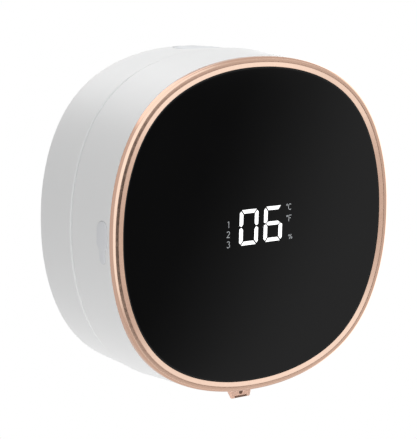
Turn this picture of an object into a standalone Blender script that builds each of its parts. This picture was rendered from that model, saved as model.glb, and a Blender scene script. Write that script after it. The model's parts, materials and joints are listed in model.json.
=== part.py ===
"""Wall-mounted automatic soap dispenser: front unit, soap tank and wall plate.

Metres, +Z up. The wall is the plane y = 0 and the part faces -Y.
Depths below are counted from the crest of the trim ring towards the wall.
"""
import math

import bmesh
import bpy
from mathutils import Matrix, Vector

MM = 0.001

# Shared outline: a rounded square that every shell, plate and seal is scaled from.
outline_exponent = 2.375
outline_flat_share = 0.0055
outline_flat_waves = 8
outline_steps = 56

# General fits.
seat_gap = 0.3 * MM
slide_gap = 0.4 * MM
window_gap = 0.1 * MM
running_gap = 0.1 * MM
weld_distance = 0.002 * MM
edge_chamfer = 0.3 * MM

# Front unit shells.
lens_half = 56.0 * MM
lens_recess = 0.4 * MM
lens_thickness = 1.6 * MM
lens_chamfer = 0.25 * MM
ring_width = 4.0 * MM
ring_height_trim = 0.5 * MM
ring_depth = 2.6 * MM
ring_spigot_length = 2.4 * MM
ring_ledge_width = 2.8 * MM
ring_profile_shares = (
    (0.22, 0.072), (0.44, 0.016), (0.66, 0.000), (0.80, 0.030),
    (0.91, 0.110), (0.97, 0.240), (1.00, 0.440), (1.00, 1.000),
)
housing_wall = 2.2 * MM
housing_flare = 1.0 * MM
flange_width = 4.8 * MM
flange_thickness = 2.0 * MM
boss_radius = 3.0 * MM
boss_inset = 1.0 * MM
boss_front_depth = 6.0 * MM
boss_web = 1.6 * MM

# Back cover with its seal and screws.
cover_thickness = 2.2 * MM
cover_recess = 2.1 * MM
gasket_thickness = 0.6 * MM
gasket_width = 1.5 * MM
screw_shank_radius = 1.0 * MM
screw_head_radius = 2.0 * MM
screw_head_height = 1.0 * MM
screw_recess_radius = 1.0 * MM
screw_recess_depth = 0.5 * MM
cover_screw_length = 8.0 * MM

# Main board, display and touch key.
board_thickness = 1.6 * MM
board_port_inset = 3.4 * MM
board_shoulder_margin = 6.0 * MM
board_top = 24.0 * MM
board_bottom = 14.0 * MM
board_tab_top = 10.0 * MM
board_tab_bottom = 8.0 * MM
board_lead_margin = 3.0 * MM
board_post_radius = 2.5 * MM
board_post_top = 18.0 * MM
board_post_bottom = 9.0 * MM
board_screw_length = 7.0 * MM
display_left = 15.0 * MM
display_right = 17.0 * MM
display_half_height = 9.0 * MM
touch_spring_height = 17.0 * MM
touch_spring_radius = 3.2 * MM
touch_spring_wire = 0.3 * MM
touch_spring_turns = 3

# Charging port in the left wall.
port_spigot_clearance = 2.0 * MM
port_height = 1.0 * MM
port_half_length = 4.47 * MM
port_half_width = 1.6 * MM
port_shell_wall = 0.3 * MM
port_body_length = 7.3 * MM
port_mouth_inset = 1.77 * MM
port_tongue_length = 4.6 * MM
port_tongue_half_length = 3.3 * MM
port_tongue_half_width = 0.35 * MM
port_base_length = 1.5 * MM
flap_half_width = 3.1 * MM
flap_top_margin = 0.73 * MM
flap_bottom_margin = 0.63 * MM
flap_tail_half_width = 1.6 * MM
flap_tail_length = 4.3 * MM
flap_thickness = 0.9 * MM
flap_proud = 0.15 * MM
flap_blank = 3.0 * MM
flap_hinge_drop = 0.5 * MM

# Nozzle under the ring. Its heights are counted downwards from the one above.
nozzle_spigot_clearance = 3.2 * MM
nozzle_bore_inset = 5.5 * MM
nozzle_half_width = 5.2 * MM
nozzle_foot_half_width = 4.65 * MM
nozzle_lip_half_width = 4.1 * MM
nozzle_wall_drop = 0.5 * MM
nozzle_foot_drop = 2.3 * MM
nozzle_lip_drop = 2.6 * MM
nozzle_foot_slope = 2.5 * MM
nozzle_lip_thickness = 0.9 * MM
nozzle_flange_half_width = 7.0 * MM
nozzle_flange_thickness = 1.3 * MM
nozzle_flange_margin = 1.3 * MM
nozzle_flange_top_gap = 0.2 * MM
nozzle_flange_back_gap = 0.9 * MM
nozzle_edge = 0.3 * MM
nozzle_bore_radius = 1.2 * MM
nozzle_outlet_radius = 2.5 * MM
nozzle_outlet_depth = 3.0 * MM
sensor_rise = 2.15 * MM
sensor_radius = 0.75 * MM
sensor_length = 1.1 * MM
strip_rise = 0.5 * MM
strip_half_width = 2.6 * MM
strip_half_height = 0.25 * MM
strip_length = 0.5 * MM

# Hoses and barbs.
barb_radius = 2.0 * MM
barb_length = 4.5 * MM
hose_inner_radius = 2.3 * MM
hose_wall = 1.0 * MM
hose_bend = 6.0 * MM

# Gear pump and motor. Both gear shafts run along X.
pump_rise = 21.8 * MM
pump_wall = 1.3 * MM
pump_head_wall = 4.1 * MM
pump_back_wall = 4.0 * MM
pump_seat = 2.4 * MM
gear_centre_distance = 5.6 * MM
gear_teeth = 8
gear_tooth_half_height = 0.5 * MM
gear_backlash = 0.15 * MM
gear_half_length = 3.0 * MM
gear_steps_per_tooth = 6
chamber_clearance = 0.25 * MM
pump_cover_thickness = 3.0 * MM
pump_edge = 0.6 * MM
pump_screw_inset = 1.9 * MM
pump_screw_length = 7.0 * MM
shaft_radius = 1.0 * MM
pump_pin_reach = 2.0 * MM
motor_half_height = 10.2 * MM
motor_half_depth = 7.7 * MM
motor_boss_gap = 2.2 * MM
motor_cap_length = 3.2 * MM
motor_shaft_reach = 2.5 * MM
motor_lead_reach = 4.7 * MM
motor_rib_near_inset = 5.7 * MM
motor_rib_far_inset = 1.8 * MM
motor_rib_thickness = 1.6 * MM
motor_rib_half_height = 8.0 * MM
cradle_wall = 1.5 * MM
cradle_reach = 3.0 * MM

# Battery.
battery_side_gap = 29.0 * MM
battery_top_gap = 2.16 * MM
battery_half_height = 17.0 * MM
battery_thickness = 10.0 * MM
battery_edge = 2.0 * MM
battery_pad_thickness = 0.9 * MM
wire_radius = 0.55 * MM
wire_spacing = 3.0 * MM

# Soap tank.
tank_seam_step = 0.4 * MM
tank_length = 25.0 * MM
tank_wall = 2.0 * MM
tank_step = 0.8 * MM
tank_round = 4.5 * MM
tank_round_steps = 4
tank_draft = 0.15 * MM
tank_rim = 0.65 * MM
tank_ledge_width = 2.5 * MM
tank_ledge_thickness = 2.1 * MM
plate_thickness = 2.0 * MM
plate_inset = 0.7 * MM
spigot_wall = 1.7 * MM
spigot_reach = 2.8 * MM
outlet_rise = 20.0 * MM
probe_radius = 2.5 * MM
probe_flange_radius = 4.5 * MM
probe_flange_thickness = 1.3 * MM
probe_reach = 4.0 * MM
probe_barb_length = 2.5 * MM
sleeve_wall = 1.4 * MM
sleeve_length = 4.2 * MM
outlet_boss_radius = 6.5 * MM
outlet_boss_length = 5.0 * MM
dip_tube_bend = 5.0 * MM
dip_tube_floor_gap = 3.5 * MM
fill_collar_gap = 0.8 * MM
fill_collar_wall = 2.2 * MM
fill_collar_drop = 5.1 * MM
fill_head_margin = 1.7 * MM
fill_head_thickness = 1.2 * MM
fill_stem_wall = 1.3 * MM
fill_stem_length = 6.0 * MM
fill_rib = 0.2 * MM
fill_sink = 0.2 * MM

# Wall plate with two hooks.
wall_plate_inset = 14.6 * MM
wall_plate_thickness = 2.5 * MM
adhesive_inset = 2.0 * MM
adhesive_thickness = 1.0 * MM
hook_spacing = 22.0 * MM
hook_half_width = 5.0 * MM
hook_neck_height = 2.5 * MM
hook_neck_top = 7.0 * MM
hook_lip_height = 5.0 * MM
hook_lip_thickness = 1.8 * MM
back_plate_thickness = 2.2 * MM
hook_lift = 8.0 * MM
pocket_wall = 1.6 * MM
pocket_gap = 0.6 * MM

# Turning steps for round pieces and the shading angle.
smooth_angle = math.radians(35)
fine_steps = 20
plain_steps = 16
small_steps = 10


def outline_height(half, across):
    """Height of the shared outline of one half size at a distance from its middle."""
    return half * (1 - (across / half) ** outline_exponent) ** (1 / outline_exponent)


# Half sizes of the shells, each from the one inside it.
ring_half_width = lens_half + ring_width
ring_half_height = ring_half_width - ring_height_trim
housing_seam_half = ring_half_width + housing_flare
tank_half = housing_seam_half - tank_seam_step
flange_inner_half = housing_seam_half - housing_wall - flange_width
mouth_half = tank_half - tank_wall
plate_half = mouth_half - slide_gap
spigot_inner = plate_half - spigot_wall
cover_half = spigot_inner - seat_gap
wall_plate_half = tank_half - wall_plate_inset
adhesive_half = wall_plate_half - adhesive_inset

# Depths, from the crest of the ring to the wall.
lens_back = lens_recess + lens_thickness
housing_front = ring_depth + seat_gap
ring_spigot_depth = ring_depth + ring_spigot_length
port_depth = ring_spigot_depth + port_spigot_clearance
board_front_depth = port_depth + port_half_width + seat_gap
board_back_depth = board_front_depth + board_thickness
nozzle_front_depth = ring_spigot_depth + nozzle_flange_margin + nozzle_spigot_clearance
pump_depth = nozzle_front_depth + nozzle_bore_inset
gear_pitch_radius = gear_centre_distance / 2
gear_mean_radius = gear_pitch_radius - gear_backlash
chamber_radius = gear_mean_radius + gear_tooth_half_height + chamber_clearance
pump_half_depth = gear_pitch_radius + chamber_radius + pump_wall
pump_half_height = chamber_radius + pump_head_wall
pump_back_face = pump_depth + pump_half_depth
cover_depth = pump_back_face + pump_seat
cover_back = cover_depth + cover_thickness
gasket_depth = cover_depth - seat_gap - gasket_thickness
flange_back = gasket_depth - seat_gap
flange_depth = flange_back - flange_thickness
nozzle_back_depth = flange_depth - nozzle_flange_back_gap - nozzle_flange_margin
seam_depth = cover_depth + cover_recess
tank_front = seam_depth + seat_gap
plate_front = tank_front + plate_inset
plate_back = plate_front + plate_thickness
tank_depth = seam_depth + tank_length
tank_floor = tank_depth - back_plate_thickness
wall_plate_depth = tank_depth + seat_gap
adhesive_depth = wall_plate_depth + wall_plate_thickness + seat_gap
total_depth = adhesive_depth + adhesive_thickness

# Heights below the middle, from the nozzle up to the tank outlet.
nozzle_top_height = ring_half_height - housing_wall - nozzle_flange_thickness - nozzle_flange_top_gap
nozzle_wall_height = ring_half_height + nozzle_wall_drop
nozzle_foot_height = nozzle_wall_height + nozzle_foot_drop
nozzle_lip_height = nozzle_foot_height + nozzle_lip_drop
sensor_height = nozzle_lip_height - sensor_rise
strip_height = nozzle_lip_height - strip_rise
pump_height = nozzle_top_height - pump_rise
outlet_height = pump_height - outlet_rise

# Sideways layout, from the screw bosses in to the motor and the board.
boss_circle = flange_inner_half - boss_inset
boss_side = boss_circle * math.cos(math.pi / 4)
pump_front = gear_half_length + seat_gap
pump_back = gear_half_length + pump_back_wall
can_start = pump_back + seat_gap
cap_end = boss_side - boss_radius - motor_boss_gap
cap_start = cap_end - motor_cap_length
can_end = cap_start - seat_gap
motor_rib_near = can_start + motor_rib_near_inset
motor_rib_far = can_end - motor_rib_far_inset
motor_drop_x = cap_end + motor_lead_reach
board_right = motor_drop_x + board_lead_margin
board_post_right = board_right - board_shoulder_margin
battery_half_length = flange_inner_half - battery_side_gap
lead_drop_x = battery_half_length + battery_edge * 3
board_post_left = lead_drop_x + wire_spacing * 3
board_left_shoulder = board_post_left + board_shoulder_margin

for old in list(bpy.data.objects):
    bpy.data.objects.remove(old, do_unlink=True)

assembly = bpy.data.collections.new("soap_dispenser")
tools = bpy.data.collections.new("soap_dispenser_cutters")
bpy.context.scene.collection.children.link(assembly)
bpy.context.scene.collection.children.link(tools)
tools.hide_render = True


def y_at(depth):
    """World y of a depth behind the crest of the trim ring."""
    return depth - total_depth


def material(name, colour, roughness, metallic=0.0):
    made = bpy.data.materials.new(name)
    made.use_nodes = True
    shader = made.node_tree.nodes["Principled BSDF"]
    shader.inputs["Base Color"].default_value = (*colour, 1.0)
    shader.inputs["Roughness"].default_value = roughness
    shader.inputs["Metallic"].default_value = metallic
    return made


paints = {
    "black_lens": material("black_lens", (0.010, 0.010, 0.011), 0.10),
    "rose_gold": material("rose_gold", (0.80, 0.55, 0.42), 0.28, 0.9),
    "white_shell": material("white_shell", (0.80, 0.80, 0.80), 0.38),
    "grey_plastic": material("grey_plastic", (0.30, 0.31, 0.32), 0.50),
    "board_green": material("board_green", (0.02, 0.16, 0.07), 0.45),
    "dark_part": material("dark_part", (0.03, 0.03, 0.03), 0.40),
    "steel": material("steel", (0.60, 0.60, 0.62), 0.30, 1.0),
    "silicone": material("silicone", (0.70, 0.70, 0.71), 0.60),
    "clear_hose": material("clear_hose", (0.80, 0.82, 0.84), 0.30),
    "battery_wrap": material("battery_wrap", (0.55, 0.57, 0.60), 0.35, 0.4),
    "foam": material("foam", (0.12, 0.12, 0.13), 0.90),
    "red_wire": material("red_wire", (0.60, 0.03, 0.02), 0.45),
    "black_wire": material("black_wire", (0.02, 0.02, 0.02), 0.45),
    "white_nylon": material("white_nylon", (0.75, 0.74, 0.70), 0.45),
}


def holder(name, place=(0.0, 0.0, 0.0), parent=None):
    frame = bpy.data.objects.new(name, None)
    frame.location = place
    frame.parent = parent
    assembly.objects.link(frame)
    return frame


wall_frame = holder("wall_frame")
tank_frame = holder("tank_frame", parent=wall_frame)
front_frame = holder("front_frame", parent=tank_frame)


def add_mesh(name, shape, place, turn=(0.0, 0.0, 0.0), frame=None, paint=None):
    """Make an object of a bmesh; with no frame it is a cutter."""
    bmesh.ops.recalc_face_normals(shape, faces=shape.faces)
    mesh = bpy.data.meshes.new(name)
    shape.to_mesh(mesh)
    shape.free()
    return add_object(name, mesh, place, turn, frame, paint)


def add_object(name, mesh, place, turn, frame, paint):
    made = bpy.data.objects.new(name, mesh)
    made.location = place
    made.rotation_euler = turn
    if frame is None:
        tools.objects.link(made)
        made.display_type = "WIRE"
        made.hide_render = True
        return made
    assembly.objects.link(made)
    made.parent = frame
    mesh.materials.append(paints[paint])
    return made


def boolean(target, tool, operation="DIFFERENCE"):
    step = target.modifiers.new(tool.name, "BOOLEAN")
    step.operation = operation
    step.solver = "EXACT"
    step.object = tool


def bevel(target, width, segments=2):
    step = target.modifiers.new("edges", "BEVEL")
    step.width = width
    step.segments = segments
    step.limit_method = "ANGLE"


def outline_points(half_width, half_height):
    points = []
    for step in range(outline_steps):
        angle = 2 * math.pi * step / outline_steps
        across = math.cos(angle)
        along = math.sin(angle)
        power = abs(across) ** outline_exponent + abs(along) ** outline_exponent
        reach = power ** (-1 / outline_exponent)
        reach *= 1 + outline_flat_share * (math.cos(outline_flat_waves * angle) - 1) / 2
        points.append((half_width * reach * across, half_height * reach * along))
    return points


def loft(stations, looped=False):
    """Skin outlines of (half width, half height, depth) into one closed body."""
    shape = bmesh.new()
    rings = []
    for half_width, half_height, depth in stations:
        corners = outline_points(half_width, half_height)
        rings.append([shape.verts.new((x, depth, z)) for x, z in corners])
    pairs = list(zip(rings, rings[1:]))
    if looped:
        pairs.append((rings[-1], rings[0]))
    for first, second in pairs:
        for index in range(outline_steps):
            follow = (index + 1) % outline_steps
            shape.faces.new((first[index], first[follow], second[follow], second[index]))
    if not looped:
        shape.faces.new(rings[0])
        shape.faces.new(rings[-1])
    return shape


def add_loft(name, stations, depth, looped=False, frame=None, paint=None):
    made = add_mesh(name, loft(stations, looped), (0.0, y_at(depth), 0.0), frame=frame, paint=paint)
    for face in made.data.polygons:
        face.use_smooth = True
    made.data.set_sharp_from_angle(angle=smooth_angle)
    return made


def add_block(name, low, high, frame=None, paint=None, edge=0.0):
    """A block between two corners, given in world x, depth and z."""
    shape = bmesh.new()
    size = Vector(high) - Vector(low)
    bmesh.ops.create_cube(shape, size=1.0)
    bmesh.ops.scale(shape, vec=size, verts=shape.verts)
    middle = (Vector(high) + Vector(low)) / 2
    place = (middle.x, y_at(middle.y), middle.z)
    made = add_mesh(name, shape, place, frame=frame, paint=paint)
    if edge:
        bevel(made, edge)
    return made


def add_rod(name, radius, length, place, turn, frame=None, paint=None, steps=plain_steps):
    """A round bar that starts at place and runs along its own +Z."""
    shape = bmesh.new()
    lift = Matrix.Translation((0.0, 0.0, length / 2))
    bmesh.ops.create_cone(shape, cap_ends=True, segments=steps, radius1=radius, radius2=radius,
                          depth=length, matrix=lift)
    made = add_mesh(name, shape, place, turn, frame, paint)
    made.data.shade_smooth()
    made.data.set_sharp_from_angle(angle=smooth_angle)
    return made


def add_turned(name, profile, place, turn, frame=None, paint=None, steps=plain_steps, ring=False):
    """Turn a (radius, height) profile about local Z with a Screw modifier."""
    shape = bmesh.new()
    points = [shape.verts.new((radius, 0.0, height)) for radius, height in profile]
    links = list(zip(points, points[1:]))
    if ring:
        links.append((points[-1], points[0]))
    for first, second in links:
        shape.edges.new((first, second))
    mesh = bpy.data.meshes.new(name)
    shape.to_mesh(mesh)
    shape.free()
    made = add_object(name, mesh, place, turn, frame, paint)
    step = made.modifiers.new("turn", "SCREW")
    step.steps = steps
    step.render_steps = steps
    step.use_merge_vertices = True
    step.merge_threshold = weld_distance
    step.use_smooth_shade = True
    return made


def add_plate(name, loops, thickness, place, turn, frame=None, paint=None):
    """A flat piece cut from 2D curves: the first loop is the outline, others are holes."""
    curve = bpy.data.curves.new(name, "CURVE")
    curve.dimensions = "2D"
    curve.fill_mode = "BOTH"
    curve.extrude = thickness / 2
    for loop in loops:
        line = curve.splines.new("POLY")
        line.points.add(len(loop) - 1)
        for index, (across, along) in enumerate(loop):
            line.points[index].co = (across, along, 0.0, 1.0)
        line.use_cyclic_u = True
    return add_curve(name, curve, place, turn, frame, paint)


def add_curve(name, curve, place, turn, frame, paint):
    """Turn a curve into a closed mesh and drop the curve."""
    source = bpy.data.objects.new(name + "_curve", curve)
    tools.objects.link(source)
    bpy.context.view_layer.update()
    evaluated = source.evaluated_get(bpy.context.evaluated_depsgraph_get())
    mesh = bpy.data.meshes.new_from_object(evaluated)
    bpy.data.objects.remove(source, do_unlink=True)
    shape = bmesh.new()
    shape.from_mesh(mesh)
    bmesh.ops.remove_doubles(shape, verts=shape.verts, dist=weld_distance)
    bpy.data.meshes.remove(mesh)
    return add_mesh(name, shape, place, turn, frame, paint)


def path_curve(name, points, radius, capped, resolution):
    curve = bpy.data.curves.new(name, "CURVE")
    curve.dimensions = "3D"
    curve.bevel_depth = radius
    curve.bevel_resolution = resolution
    curve.use_fill_caps = capped
    line = curve.splines.new("POLY")
    line.points.add(len(points) - 1)
    for index, point in enumerate(points):
        line.points[index].co = (*point, 1.0)
    return curve


def add_wire(name, points, radius, paint, resolution=2):
    """A wire through points given in x, depth and z."""
    world = [(x, y_at(depth), z) for x, depth, z in points]
    made = add_curve(name, path_curve(name, world, radius, True, resolution), (0, 0, 0),
                     (0, 0, 0), front_frame, paint)
    made.data.shade_smooth()
    return made


def add_hose(name, points, frame):
    """A hollow hose through points given in x, depth and z."""
    world = [(x, y_at(depth), z) for x, depth, z in points]
    outer = hose_inner_radius + hose_wall
    made = add_curve(name, path_curve(name, world, outer, False, 4), (0, 0, 0), (0, 0, 0),
                     frame, "clear_hose")
    step = made.modifiers.new("wall", "SOLIDIFY")
    step.thickness = hose_wall
    step.offset = -1.0
    made.data.shade_smooth()
    return made


along_x = (0.0, math.pi / 2, 0.0)
along_y = (-math.pi / 2, 0.0, 0.0)
against_y = (math.pi / 2, 0.0, 0.0)
along_z = (0.0, 0.0, 0.0)
facing_front = (math.pi / 2, 0.0, 0.0)
facing_side = (math.pi / 2, 0.0, math.pi / 2)


def circle_points(radius, steps, centre=(0.0, 0.0)):
    points = []
    for step in range(steps):
        angle = 2 * math.pi * step / steps
        points.append((centre[0] + radius * math.cos(angle), centre[1] + radius * math.sin(angle)))
    return points


def bend_points(start, middle, end, steps=5):
    """Points of a quarter bend from start to end with its corner at middle."""
    points = []
    for step in range(steps + 1):
        angle = math.pi / 2 * step / steps
        reach_start = 1 - math.sin(angle)
        reach_end = 1 - math.cos(angle)
        point = Vector(middle)
        point += (Vector(start) - Vector(middle)) * reach_start
        point += (Vector(end) - Vector(middle)) * reach_end
        points.append(tuple(point))
    return points


def add_screw(name, shank, place, turn, frame):
    """A pan-head screw with a round driver recess; its head stands on local z = 0."""
    profile = [
        (0.0, screw_head_height - screw_recess_depth),
        (screw_recess_radius, screw_head_height - screw_recess_depth),
        (screw_recess_radius, screw_head_height),
        (screw_head_radius - edge_chamfer, screw_head_height),
        (screw_head_radius, screw_head_height - edge_chamfer),
        (screw_head_radius, 0.0),
        (screw_shank_radius, 0.0),
        (screw_shank_radius, screw_shank_radius - shank),
        (0.0, -shank),
    ]
    return add_turned(name, profile, place, turn, frame, "steel", steps=small_steps)


# Lens and trim ring.

lens_outline = lens_half - window_gap
add_loft("front_lens", [
    (lens_outline - lens_chamfer, lens_outline - lens_chamfer, 0.0),
    (lens_outline, lens_outline, lens_chamfer),
    (lens_outline, lens_outline, lens_thickness),
], lens_recess, frame=front_frame, paint="black_lens")

ledge_depth = lens_back + seat_gap
ledge_half = lens_half - ring_ledge_width
ring_stations = [(lens_half, lens_half, lens_recess)]
for width_share, depth_share in ring_profile_shares:
    ring_stations.append((
        lens_half + (ring_half_width - lens_half) * width_share,
        lens_half + (ring_half_height - lens_half) * width_share,
        ring_depth * depth_share,
    ))
spigot_half_width = ring_half_width - housing_wall - seat_gap
spigot_half_height = ring_half_height - housing_wall - seat_gap
ring_stations += [
    (spigot_half_width, spigot_half_height, ring_depth),
    (spigot_half_width, spigot_half_height, ring_spigot_depth),
    (ledge_half, ledge_half, ring_spigot_depth),
    (ledge_half, ledge_half, ledge_depth),
    (lens_half, lens_half, ledge_depth),
]
add_loft("trim_ring", ring_stations, 0.0, looped=True, frame=front_frame, paint="rose_gold")

# Front housing: drafted wall, inner flange, four screw bosses and the two openings.


def housing_half(depth):
    """Outer half width and half height of the drafted front housing."""
    share = (depth - housing_front) / (seam_depth - housing_front)
    half_width = ring_half_width + (housing_seam_half - ring_half_width) * share
    half_height = ring_half_height + (housing_seam_half - ring_half_height) * share
    return half_width, half_height


def housing_skin(depth, offset):
    half_width, half_height = housing_half(depth)
    return (half_width + offset, half_height + offset, depth)


housing = add_loft("front_housing", [
    (ring_half_width - edge_chamfer, ring_half_height - edge_chamfer, housing_front),
    (ring_half_width, ring_half_height, housing_front + edge_chamfer),
    (housing_seam_half, housing_seam_half, seam_depth - edge_chamfer),
    (housing_seam_half - edge_chamfer, housing_seam_half - edge_chamfer, seam_depth),
    housing_skin(seam_depth, -housing_wall),
    housing_skin(flange_back, -housing_wall),
    (flange_inner_half, flange_inner_half, flange_back),
    (flange_inner_half, flange_inner_half, flange_depth),
    housing_skin(flange_depth, -housing_wall),
    housing_skin(housing_front, -housing_wall),
], 0.0, looped=True, frame=front_frame, paint="white_shell")

boss_back = cover_depth - seat_gap
screw_floor = cover_back - screw_head_height - seat_gap
shank_hole = screw_shank_radius + seat_gap
boss_spots = []
for quarter in range(4):
    angle = math.pi / 4 + quarter * math.pi / 2
    boss_spots.append((boss_circle * math.cos(angle), boss_circle * math.sin(angle), angle))

for number, (boss_x, boss_z, angle) in enumerate(boss_spots, 1):
    post = add_rod(f"boss_{number}", boss_radius, boss_back - boss_front_depth,
                   (boss_x, y_at(boss_front_depth), boss_z), along_y)
    boolean(housing, post, "UNION")
    web_shape = bmesh.new()
    web_length = housing_half(boss_front_depth)[0] * math.sqrt(2) ** (1 - 2 / outline_exponent)
    web_length = web_length - housing_wall / 2 - boss_circle
    bmesh.ops.create_cube(web_shape, size=1.0)
    bmesh.ops.scale(web_shape, vec=(web_length, flange_depth - boss_front_depth, boss_web),
                    verts=web_shape.verts)
    web_middle = boss_circle + web_length / 2
    web = add_mesh(f"boss_web_{number}", web_shape, (
        web_middle * math.cos(angle),
        y_at((flange_depth + boss_front_depth + seat_gap) / 2),
        web_middle * math.sin(angle),
    ), turn=(0.0, -angle, 0.0))
    boolean(housing, web, "UNION")

for number, (boss_x, boss_z, angle) in enumerate(boss_spots, 1):
    drill_start = screw_floor - cover_screw_length - seat_gap
    drill = add_rod(f"boss_drill_{number}", shank_hole, cover_back - drill_start,
                    (boss_x, y_at(drill_start), boss_z), along_y, steps=small_steps)
    boolean(housing, drill)

nozzle_slot = add_block(
    "nozzle_slot",
    (-nozzle_half_width - seat_gap, nozzle_front_depth - seat_gap, -nozzle_lip_height),
    (nozzle_half_width + seat_gap, nozzle_back_depth + seat_gap, -flange_inner_half),
)
boolean(housing, nozzle_slot)


def slot_points(half_width, low, high, steps=8):
    """A slot with round ends, along its second axis from low to high."""
    points = []
    for centre, start in ((high - half_width, 0.0), (low + half_width, math.pi)):
        for step in range(steps + 1):
            angle = start + math.pi * step / steps
            points.append((half_width * math.cos(angle), centre + half_width * math.sin(angle)))
    return points


def flap_points(grow, base):
    """Outline of the port cover: a slot with a narrower pull tab at its foot."""
    wide = flap_half_width + grow
    narrow = flap_tail_half_width + grow
    upper = flap_top + grow - wide - base
    lower = wide - flap_bottom - grow - base
    tail = narrow - flap_tail_bottom - grow - base
    neck_angle = math.acos(narrow / wide)
    points = []
    steps = 8
    for step in range(steps + 1):
        angle = math.pi * step / steps
        points.append((wide * math.cos(angle), upper + wide * math.sin(angle)))
    for step in range(steps // 2 + 1):
        angle = math.pi + neck_angle * step * 2 / steps
        points.append((wide * math.cos(angle), lower + wide * math.sin(angle)))
    for step in range(steps + 1):
        angle = math.pi + math.pi * step / steps
        points.append((narrow * math.cos(angle), tail + narrow * math.sin(angle)))
    for step in range(steps // 2 + 1):
        angle = 2 * math.pi - neck_angle * (1 - step * 2 / steps)
        points.append((wide * math.cos(angle), lower + wide * math.sin(angle)))
    return points


port_skin = housing_half(port_depth)[0]
port_mouth = port_skin - port_mouth_inset
board_left = port_mouth - board_port_inset
flap_top = port_height + port_half_length + flap_top_margin
flap_bottom = port_half_length - port_height + flap_bottom_margin
flap_tail_bottom = flap_bottom + flap_tail_length
flap_inner = port_skin + flap_proud - flap_thickness
hinge_x = flap_inner + flap_thickness / 2
hinge_z = flap_top - flap_hinge_drop
pocket_floor = flap_inner - seat_gap
flap_pocket = add_plate("flap_pocket", [flap_points(seat_gap, 0.0)], flap_blank,
                        (-pocket_floor - flap_blank / 2, y_at(port_depth), 0.0), facing_side)
boolean(housing, flap_pocket)
port_hole_points = slot_points(port_half_width + seat_gap, -port_half_length - seat_gap,
                               port_half_length + seat_gap)
port_hole = add_plate("port_hole", [port_hole_points], housing_wall + flap_blank,
                      (-port_skin, y_at(port_depth), port_height), facing_side)
boolean(housing, port_hole)

# Port cover, hinged along Y at its upper end, trimmed to the skin of the housing.

flap = add_plate("port_cover", [flap_points(0.0, hinge_z)], flap_blank,
                 (-hinge_x, y_at(port_depth), hinge_z), facing_side, front_frame, "silicone")
blank_shift = (flap_thickness - flap_blank) / 2
for corner in flap.data.vertices:
    corner.co.z += blank_shift
flap_skin = add_loft("flap_skin", [
    housing_skin(housing_front, flap_proud),
    housing_skin(flange_depth, flap_proud),
], 0.0)
boolean(flap, flap_skin, "INTERSECT")

# Charging port: metal shell with its insulating tongue.

port_place = (-port_mouth + port_body_length / 2, y_at(port_depth), port_height)
port_bore_half_width = port_half_width - port_shell_wall
port_bore_half_length = port_half_length - port_shell_wall
add_plate("usb_shell", [
    slot_points(port_half_width, -port_half_length, port_half_length),
    slot_points(port_bore_half_width, -port_bore_half_length, port_bore_half_length),
], port_body_length, port_place, facing_side, front_frame, "steel")
insert_half_width = port_bore_half_width - window_gap
insert_half_length = port_bore_half_length - window_gap
insert_x = port_body_length - port_mouth - port_base_length / 2
usb_insert = add_plate(
    "usb_insert", [slot_points(insert_half_width, -insert_half_length, insert_half_length)],
    port_base_length, (insert_x, y_at(port_depth), port_height), facing_side,
    front_frame, "dark_part",
)
tongue = add_block(
    "usb_tongue",
    (insert_x - port_tongue_length, port_depth - port_tongue_half_width,
     port_height - port_tongue_half_length),
    (insert_x, port_depth + port_tongue_half_width, port_height + port_tongue_half_length),
)
boolean(usb_insert, tongue, "UNION")

# Gasket, back cover with its posts and cradles, and the four screws.

add_loft("cover_gasket", [
    (flange_inner_half + seat_gap, flange_inner_half + seat_gap, 0.0),
    (flange_inner_half + seat_gap, flange_inner_half + seat_gap, gasket_thickness),
    (flange_inner_half + gasket_width, flange_inner_half + gasket_width, gasket_thickness),
    (flange_inner_half + gasket_width, flange_inner_half + gasket_width, 0.0),
], gasket_depth, looped=True, frame=front_frame, paint="silicone")

cover = add_loft("back_cover", [
    (cover_half, cover_half, 0.0),
    (cover_half, cover_half, cover_thickness - edge_chamfer),
    (cover_half - edge_chamfer, cover_half - edge_chamfer, cover_thickness),
], cover_depth, frame=front_frame, paint="grey_plastic")

cover_root = cover_depth + cover_thickness / 2
post_start = board_back_depth + seat_gap
board_posts = (
    (-board_post_left, board_post_top, True),
    (board_post_right, board_post_top, False),
    (-board_post_left, -board_post_bottom, False),
    (board_post_right, -board_post_bottom, True),
)
for number, (post_x, post_z, screwed) in enumerate(board_posts, 1):
    post = add_rod(f"board_post_{number}", board_post_radius, cover_root - post_start,
                   (post_x, y_at(post_start), post_z), along_y)
    boolean(cover, post, "UNION")
    if screwed:
        drill_end = board_front_depth + board_screw_length
        drill = add_rod(f"post_drill_{number}", shank_hole, drill_end - board_front_depth,
                        (post_x, y_at(board_front_depth), post_z), along_y, steps=small_steps)
        boolean(cover, drill)

motor_back_face = pump_depth - gear_pitch_radius + motor_half_depth
supports = [
    ("pump_seat", (-pump_front, pump_back_face + seat_gap, -pump_height - pump_half_height),
     (pump_back, cover_root, -pump_height + pump_half_height)),
]
for side, label in ((1, "upper"), (-1, "lower")):
    near = -pump_height + side * (pump_half_height + seat_gap)
    far = near + side * cradle_wall
    supports.append((f"pump_cradle_{label}",
                     (-pump_front, pump_back_face - cradle_reach, min(near, far)),
                     (pump_back, cover_root, max(near, far))))
for label, rib_x in (("near", motor_rib_near), ("far", motor_rib_far)):
    supports.append((f"motor_rib_{label}",
                     (rib_x - motor_rib_thickness / 2, motor_back_face + seat_gap,
                      -pump_height - motor_rib_half_height),
                     (rib_x + motor_rib_thickness / 2, cover_root,
                      -pump_height + motor_rib_half_height)))
for name, low, high in supports:
    boolean(cover, add_block(name, low, high), "UNION")

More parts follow.
